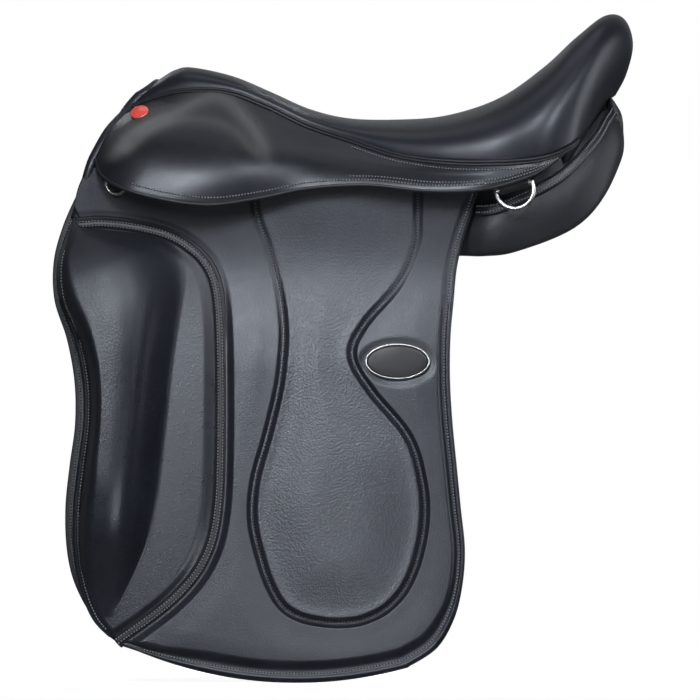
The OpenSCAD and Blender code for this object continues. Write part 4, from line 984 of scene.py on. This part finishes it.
def panel_ring(k):
    """Fifteen points of the panel's section at k."""
    q = np.stack([spline(PANEL[:, i], k) for i in range(5)])
    mid = q.mean(0)
    taper = min(ease(-0.02, 0.08, k), 1 - ease(0.9, 1.05, k))
    pts = []
    for j in range(15):
        i, f = j // 3, j / 3 - j // 3
        p = mix(q[i], q[(i + 1) % 5], f)
        swell = 0.25 if i < 2 else 0.5 if i == 4 else 1
        cut = 0 if f > 0 or i == 1 else 4
        pts.append(p + unit(p - mid) * (7 * swell * math.sin(math.pi * f) - cut) * taper)
    return np.array(pts)


def closed_curve(p, steps):
    """Smooth closed curve through the rows of p."""
    n = len(p)
    ext = np.concatenate([p[-2:], p, p[:3]])
    k = (2 + np.arange(n * steps) / steps) / (len(ext) - 1)
    return spline(ext, k)


def strip_frame(k):
    ring = panel_ring(k)
    p = ring[6]
    down = unit(ring[7] - p)
    out = unit(np.cross(panel_ring(min(k + 0.02, 1))[6] - p, down))
    return p + out * 0.64, down, out


def make_panel():
    rings = np.array([closed_curve(panel_ring(k), 4) for k in np.linspace(0, 1, 110)])
    ends = []
    for ring, step in ((rings[0], (-3.0, 0, -2)), (rings[-1], (1.0, -1.0, 14.0))):
        mid = ring.mean(0)
        ends.append([mid + (ring - mid) * share + np.array(step) * h
                     for share, h in ((0.97, 0.25), (0.91, 0.5), (0.8, 0.75), (0.6, 0.93), (0.3, 1.0))])
    rings = np.concatenate([ends[0][::-1], rings, ends[1]])
    pair("panel_cushion", loft(rings), CUSHION, stands_for=["panel_{}"])

    frames = [strip_frame(k) for k in np.linspace(0.585, 0.995, 150)]
    profile = [(-1.0, 0.0), (-1.2, 1.6), (-0.4, 2.8), (1.6, 3.0), (4.5, 2.6), (7.4, 3.0), (9.4, 2.8),
               (10.2, 1.6), (10.0, 0.0)]
    rings = np.array([[p + down * a + out * b for a, b in profile] for p, down, out in frames])
    pair("panel_strip", loft(rings), GRAIN, stands_for=["panel_facing_{}"])
    normals = np.array([out for p, down, out in frames])
    sew("panel", [(rings[:, i], normals) for i, (a, b) in enumerate(profile) if b == 3.0])


def make_gusset():
    """Leather that closes the seat's underside down to the panels, round the cantle."""
    k, drop = lattice(50, 8, (0.70, 1))
    e = seat_edge(k)
    half = mix(e * (1, 0.96, 1) + (-1.5, 0, 2.0), e * (1, 0.90, 1) + (-5.0, 0, -17.0), drop[..., None])
    whole = np.concatenate([half, half[-2::-1] * (1, -1, 1)])
    piece("cantle_gusset", shell(whole, whole - (2.2, 0, 0)), PIPING)


# Straps

BILLET, BILLET_HALF, BILLET_TOP = 330.0, 12.5, 12.0
HOLES, HOLE_PITCH, HOLE_FIRST = 8, 25.0, 60.0
LEVELS = (-0.25, -0.9, -3.1, -3.75)  # a billet's front, the start and end of its sides, its back
EASED = BILLET_HALF - 0.5


def billet_parts(place):
    """Meshes of a billet: squares round its holes, its ends and its sides; place puts a point at a height."""
    low, high = (HOLE_FIRST - BILLET + HOLE_PITCH * i for i in (-0.5, HOLES - 0.5))
    w = np.linspace(-math.pi / 4, 7 * math.pi / 4, 32, endpoint=False)
    ring = np.stack([np.cos(w), np.sin(w)], -1)
    box = ring / np.abs(ring).max(1, keepdims=True) * (EASED, HOLE_PITCH / 2)
    section = ((box, LEVELS[0]), (ring * 3.0, LEVELS[0]), (ring * 2.5, -0.7), (ring * 2.5, -3.3),
               (ring * 3.0, LEVELS[3]), (box, LEVELS[3]))
    parts = []
    for i in range(HOLES):
        y = HOLE_FIRST - BILLET + i * HOLE_PITCH
        v = np.concatenate([place(loop + (0, y), h) for loop, h in section])
        parts.append((v, grid_faces(len(section), len(w), close_j=True)))
    head = [(BILLET_HALF * math.cos(a), BILLET_HALF * math.sin(a)) for a in np.linspace(0, math.pi, 25)]
    tip = [(mix(BILLET_HALF, 5.5, ease(22, 0, BILLET + y)), y) for y in np.linspace(low, -BILLET, 14)]
    for outline in (head + [(-BILLET_HALF, high), (BILLET_HALF, high)],
                    [(BILLET_HALF, low), *tip, *[(-x, y) for x, y in tip[::-1]], (-BILLET_HALF, low)]):
        pts = np.array(outline)
        n, mid = len(pts), pts.mean(0)
        small = mid + (pts - mid) * (1 - 0.5 / np.linalg.norm(pts - mid, axis=1, keepdims=True))
        v = np.concatenate([place(p, h) for p, h in zip((small, pts, pts, small), LEVELS)])
        f = [list(range(n)), list(range(4 * n - 1, 3 * n - 1, -1))]
        f += [q[:1] + q[:0:-1] for q in grid_faces(4, n, close_j=True)]
        parts.append((v, outward(v, f)))
    y = np.linspace(low, high, 60)
    for sign in (-1, 1):
        edge = zip((EASED, BILLET_HALF, BILLET_HALF, EASED), LEVELS)
        g = np.stack([place(np.stack([np.full_like(y, sign * x), y], -1), h) for x, h in edge], 1)
        f = grid_faces(len(y), len(LEVELS))
        parts.append((g.reshape(-1, 3), f if sign > 0 else [q[::-1] for q in f]))
    return parts


def make_billets():
    turn = turned(2, math.atan(0.06))
    for name, x in (("front", -105.0), ("rear", -20.0)):
        top = flap_back(x, BILLET_TOP)
        lean = math.atan((flap_back(x, BILLET_TOP + BILLET) - top) / BILLET)
        o = np.array([x, top - 4.5 - 2.0 + FLAP_CURVE * BILLET**2 / 8, BEND_Z - BILLET_TOP])
        ex, ey = turn[:, 0], turn @ turned(0, math.pi / 2 + lean)[:, 1]
        ez = np.cross(ex, ey)

        def place(p, h):
            return o + p[..., :1] * ex + p[..., 1:] * ey + h * ez

        pair(f"{name}_billet_strap", join(*billet_parts(place)), STRAP,
             f"{name}_billet_body_{{}}", [f"{name}_billet_{{}}"])
        y = np.linspace(4, 30 - BILLET, 90)
        rows = [(place(np.stack([np.full_like(y, sign * (BILLET_HALF - 2.6)), y], -1), LEVELS[0]), ez)
                for sign in (-1, 1)]
        sew(f"{name}_billet", rows, f"{name}_billet_body_{{}}")


def make_girth_web():
    i, c = lattice(40, 12)
    x = mix(-117.5 + 12 * c, -7.5 - 12 * c, i)
    d = mix(-1.86, -29.0, c) + 0 * i
    top, bottom = (np.stack([x, flap_back(x, d) - behind, BEND_Z - d], -1) for behind in (0.4, 2.4))
    pair("girth_strap", shell(top, bottom), WEB, stands_for=["girth_web_{}"])


def chape(o, turn, wire, inside, tail, tilt):
    """Leather folded round a ring's bar, in the ring's own frame, and the stitches of its tail."""
    r, t, half = wire / 2 + 0.4, 2.2, (inside - 2.8) / 2
    ex, ey, ez = turn[:, 0], turn[:, 1], -turn[:, 2]
    cos, sin = math.cos(math.radians(tilt)), math.sin(math.radians(tilt))
    n1, n2 = cos * ez - sin * ey, cos * ey + sin * ez

    def place(x, out, up):
        return o + x * ex + out * n1 + up * n2

    xs, ends = (-half, 0.6 - half, half - 0.6, half), (0.25, 0.0, 0.0, 0.25)
    rounds = [(x, (r + t) * (1 - e * t / (r + t))) for x, e in zip(xs, ends)]
    rounds += [(x, r * (1 + e * t / r * 0.4)) for x, e in zip(xs[::-1], ends)]
    w = np.linspace(math.pi / 2, -3 * math.pi / 2, 40)
    v = np.array([place(x, size * math.cos(a), size * math.sin(a)) for x, size in rounds for a in w])
    ring = (v, outward(v, grid_faces(len(rounds), len(w), close_i=True, close_j=True)))
    top, bottom = (np.array([[place(x, out, up) for x in np.linspace(-half, half, 14)]
                             for up in np.linspace(0, tail, 24)]) for out in (r + t, r))
    threads = []
    for sign in (-1, 1):
        path = np.array([place(sign * (half - 2.2), r + t, up) for up in np.linspace(4, tail - 2, 30)])
        threads.append(stitches(path, n1, 2.7, 2.0, 0.8, 0.1))
    return join(ring, shell(top, bottom)), join(*threads)


def make_chapes():
    turn = turned(1, math.radians(-16)) @ turned(0, math.radians(100))
    folded, threads = chape(np.array([147, 134.6, -15.0]), turn, 4.0, 30.0, 20.0, 0.0)
    pair("rear_ring_loop", folded, PIPING, stands_for=["rear_chape_{}"])
    pair("rear_loop_stitching", threads, THREAD)
    turn = turned(2, math.radians(21.4462)) @ turned(0, math.pi / 2)
    folded = chape(np.array([-210.233, 107.226, -9.462]), turn, 3.0, 17.0, 14.0, -28.2)[0]
    pair("front_ring_loop", folded, PIPING, stands_for=["front_chape_{}"])


# CAD nodes that stay

def dress_nodes():
    keep = {"tree": WOOD, "gullet_plate": STEEL, "gullet_rivets": STEEL}
    for side in dict(SIDES):
        keep |= {f"{n}_{side}": STEEL for n in ("stirrup_bar", "bar_rivets", "bar_catch", "catch_pin")}
        keep |= {f"{n}_{side}": CHROME for n in ("rear_ring", "front_ring")}
    for name, material in keep.items():
        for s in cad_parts[name].material_slots:
            s.material = material


# Stage

# Name, place, aim, size, watts and spread in degrees
LAMPS = [
    ("key", (-251, -1120, 710), (-27, -150, -126), (240, 300), 11, 180),
    ("left", (-585, -1445, 551), (0, -130, -150), (150, 500), 7, 180),
    ("right", (452, -1145, 1001), (0, -130, -150), (160, 420), 11, 180),
    ("cantle", (1150, -950, 640), (190, -120, 60), (300, 300), 0.25, 24),
    ("fill", (40, -860, -215), (0, -170, -400), (420, 110), 1.5, 180),
    ("far", (-100, 2600, 900), (0, 130, -100), (3600, 1800), 6, 180),
    ("rear", (1500, 150, 150), (120, -60, 0), (500, 900), 6, 180),
    ("crown", (100, 300, 2000), (0, 0, 0), (1800, 1200), 6, 180)]
# The far side has the first three once more behind grids, which keep their light off the seat.
FAR_FLAP, FAR_SPREAD, FAR_SHARE = (0, 170, -230), 24, 1 / 50
LAMPS += [(name + "_far", (at[0], -at[1], at[2]), FAR_FLAP, size, power * FAR_SHARE, FAR_SPREAD)
          for name, at, aim, size, power, angle in LAMPS[:3]]
LAMP_COLOUR = (0.93, 0.96, 1.0)
FLOOR_Z, FLOOR_X, FLOOR_Y = -460, 1600, 900
# In metres: the camera's place, and how wide the picture is at a distance
CAMERA_AT, PICTURE_WIDE, PICTURE_AWAY, SENSOR = (0.0, -20.0, -0.162), 0.63, 19.9, 36.0


def make_stage():
    scene = bpy.context.scene
    corners = ((-1, -1), (1, -1), (1, 1), (-1, 1))
    v = np.array([[x * FLOOR_X, y * FLOOR_Y, FLOOR_Z] for x, y in corners], float)
    mesh = bpy.data.meshes.new("floor")
    mesh.from_pydata((v * MM).tolist(), [], [[0, 1, 2, 3]])
    paper = grainy("floor_paper", (0.86, 0.86, 0.86), (0.90, 0.90, 0.90), 0.8, 5)
    nt = paper.node_tree
    fill_in(nt, nt.nodes["Principled BSDF"], {"Emission Color": (1, 1, 1, 1), "Emission Strength": 0.85})
    mesh.materials.append(paper)
    floor = new_object("floor", mesh)
    floor.visible_glossy = False

    scene.view_settings.view_transform = "Standard"
    scene.world = bpy.data.worlds.new("studio")
    scene.world.use_nodes = True
    nt = scene.world.node_tree
    up = add(nt, "SeparateXYZ", {0: add(nt, "TexCoord", {}, "Generated")}, "Z")
    glow = add(nt, "Mix", {"Factor": add(nt, "LightPath", {}, "Is Camera Ray"),
                           "A": spread(nt, up, -0.4, 0.9, 0.03, 0.09), "B": 1.0}, "Result", data_type="FLOAT")
    fill_in(nt, nt.nodes["Background"], {"Strength": glow, "Color": (1, 1, 1, 1)})

    for name, at, aim, size, power, angle in LAMPS:
        light = bpy.data.lights.new(name, "AREA")
        light.shape = "RECTANGLE"
        light.size, light.size_y = size[0] * MM, size[1] * MM
        light.energy = power
        light.spread = math.radians(angle)
        light.color = LAMP_COLOUR
        obj = new_object(name, light)
        obj.location = [x * MM for x in at]
        obj.rotation_euler = (Vector(aim) - Vector(at)).to_track_quat("-Z", "Y").to_euler()

    cam = bpy.data.cameras.new("camera")
    cam.sensor_width = SENSOR
    cam.lens = SENSOR * PICTURE_AWAY / PICTURE_WIDE
    cam.clip_end = 100.0
    scene.camera = new_object("camera", cam)
    scene.camera.location = CAMERA_AT
    scene.camera.rotation_euler = (math.pi / 2, 0, 0)


make_stage()
make_seat()
make_skirt()
make_pommel_roll()
make_flap()
make_badge()
make_stud()
make_panel()
make_gusset()
make_billets()
make_girth_web()
make_chapes()
dress_nodes()
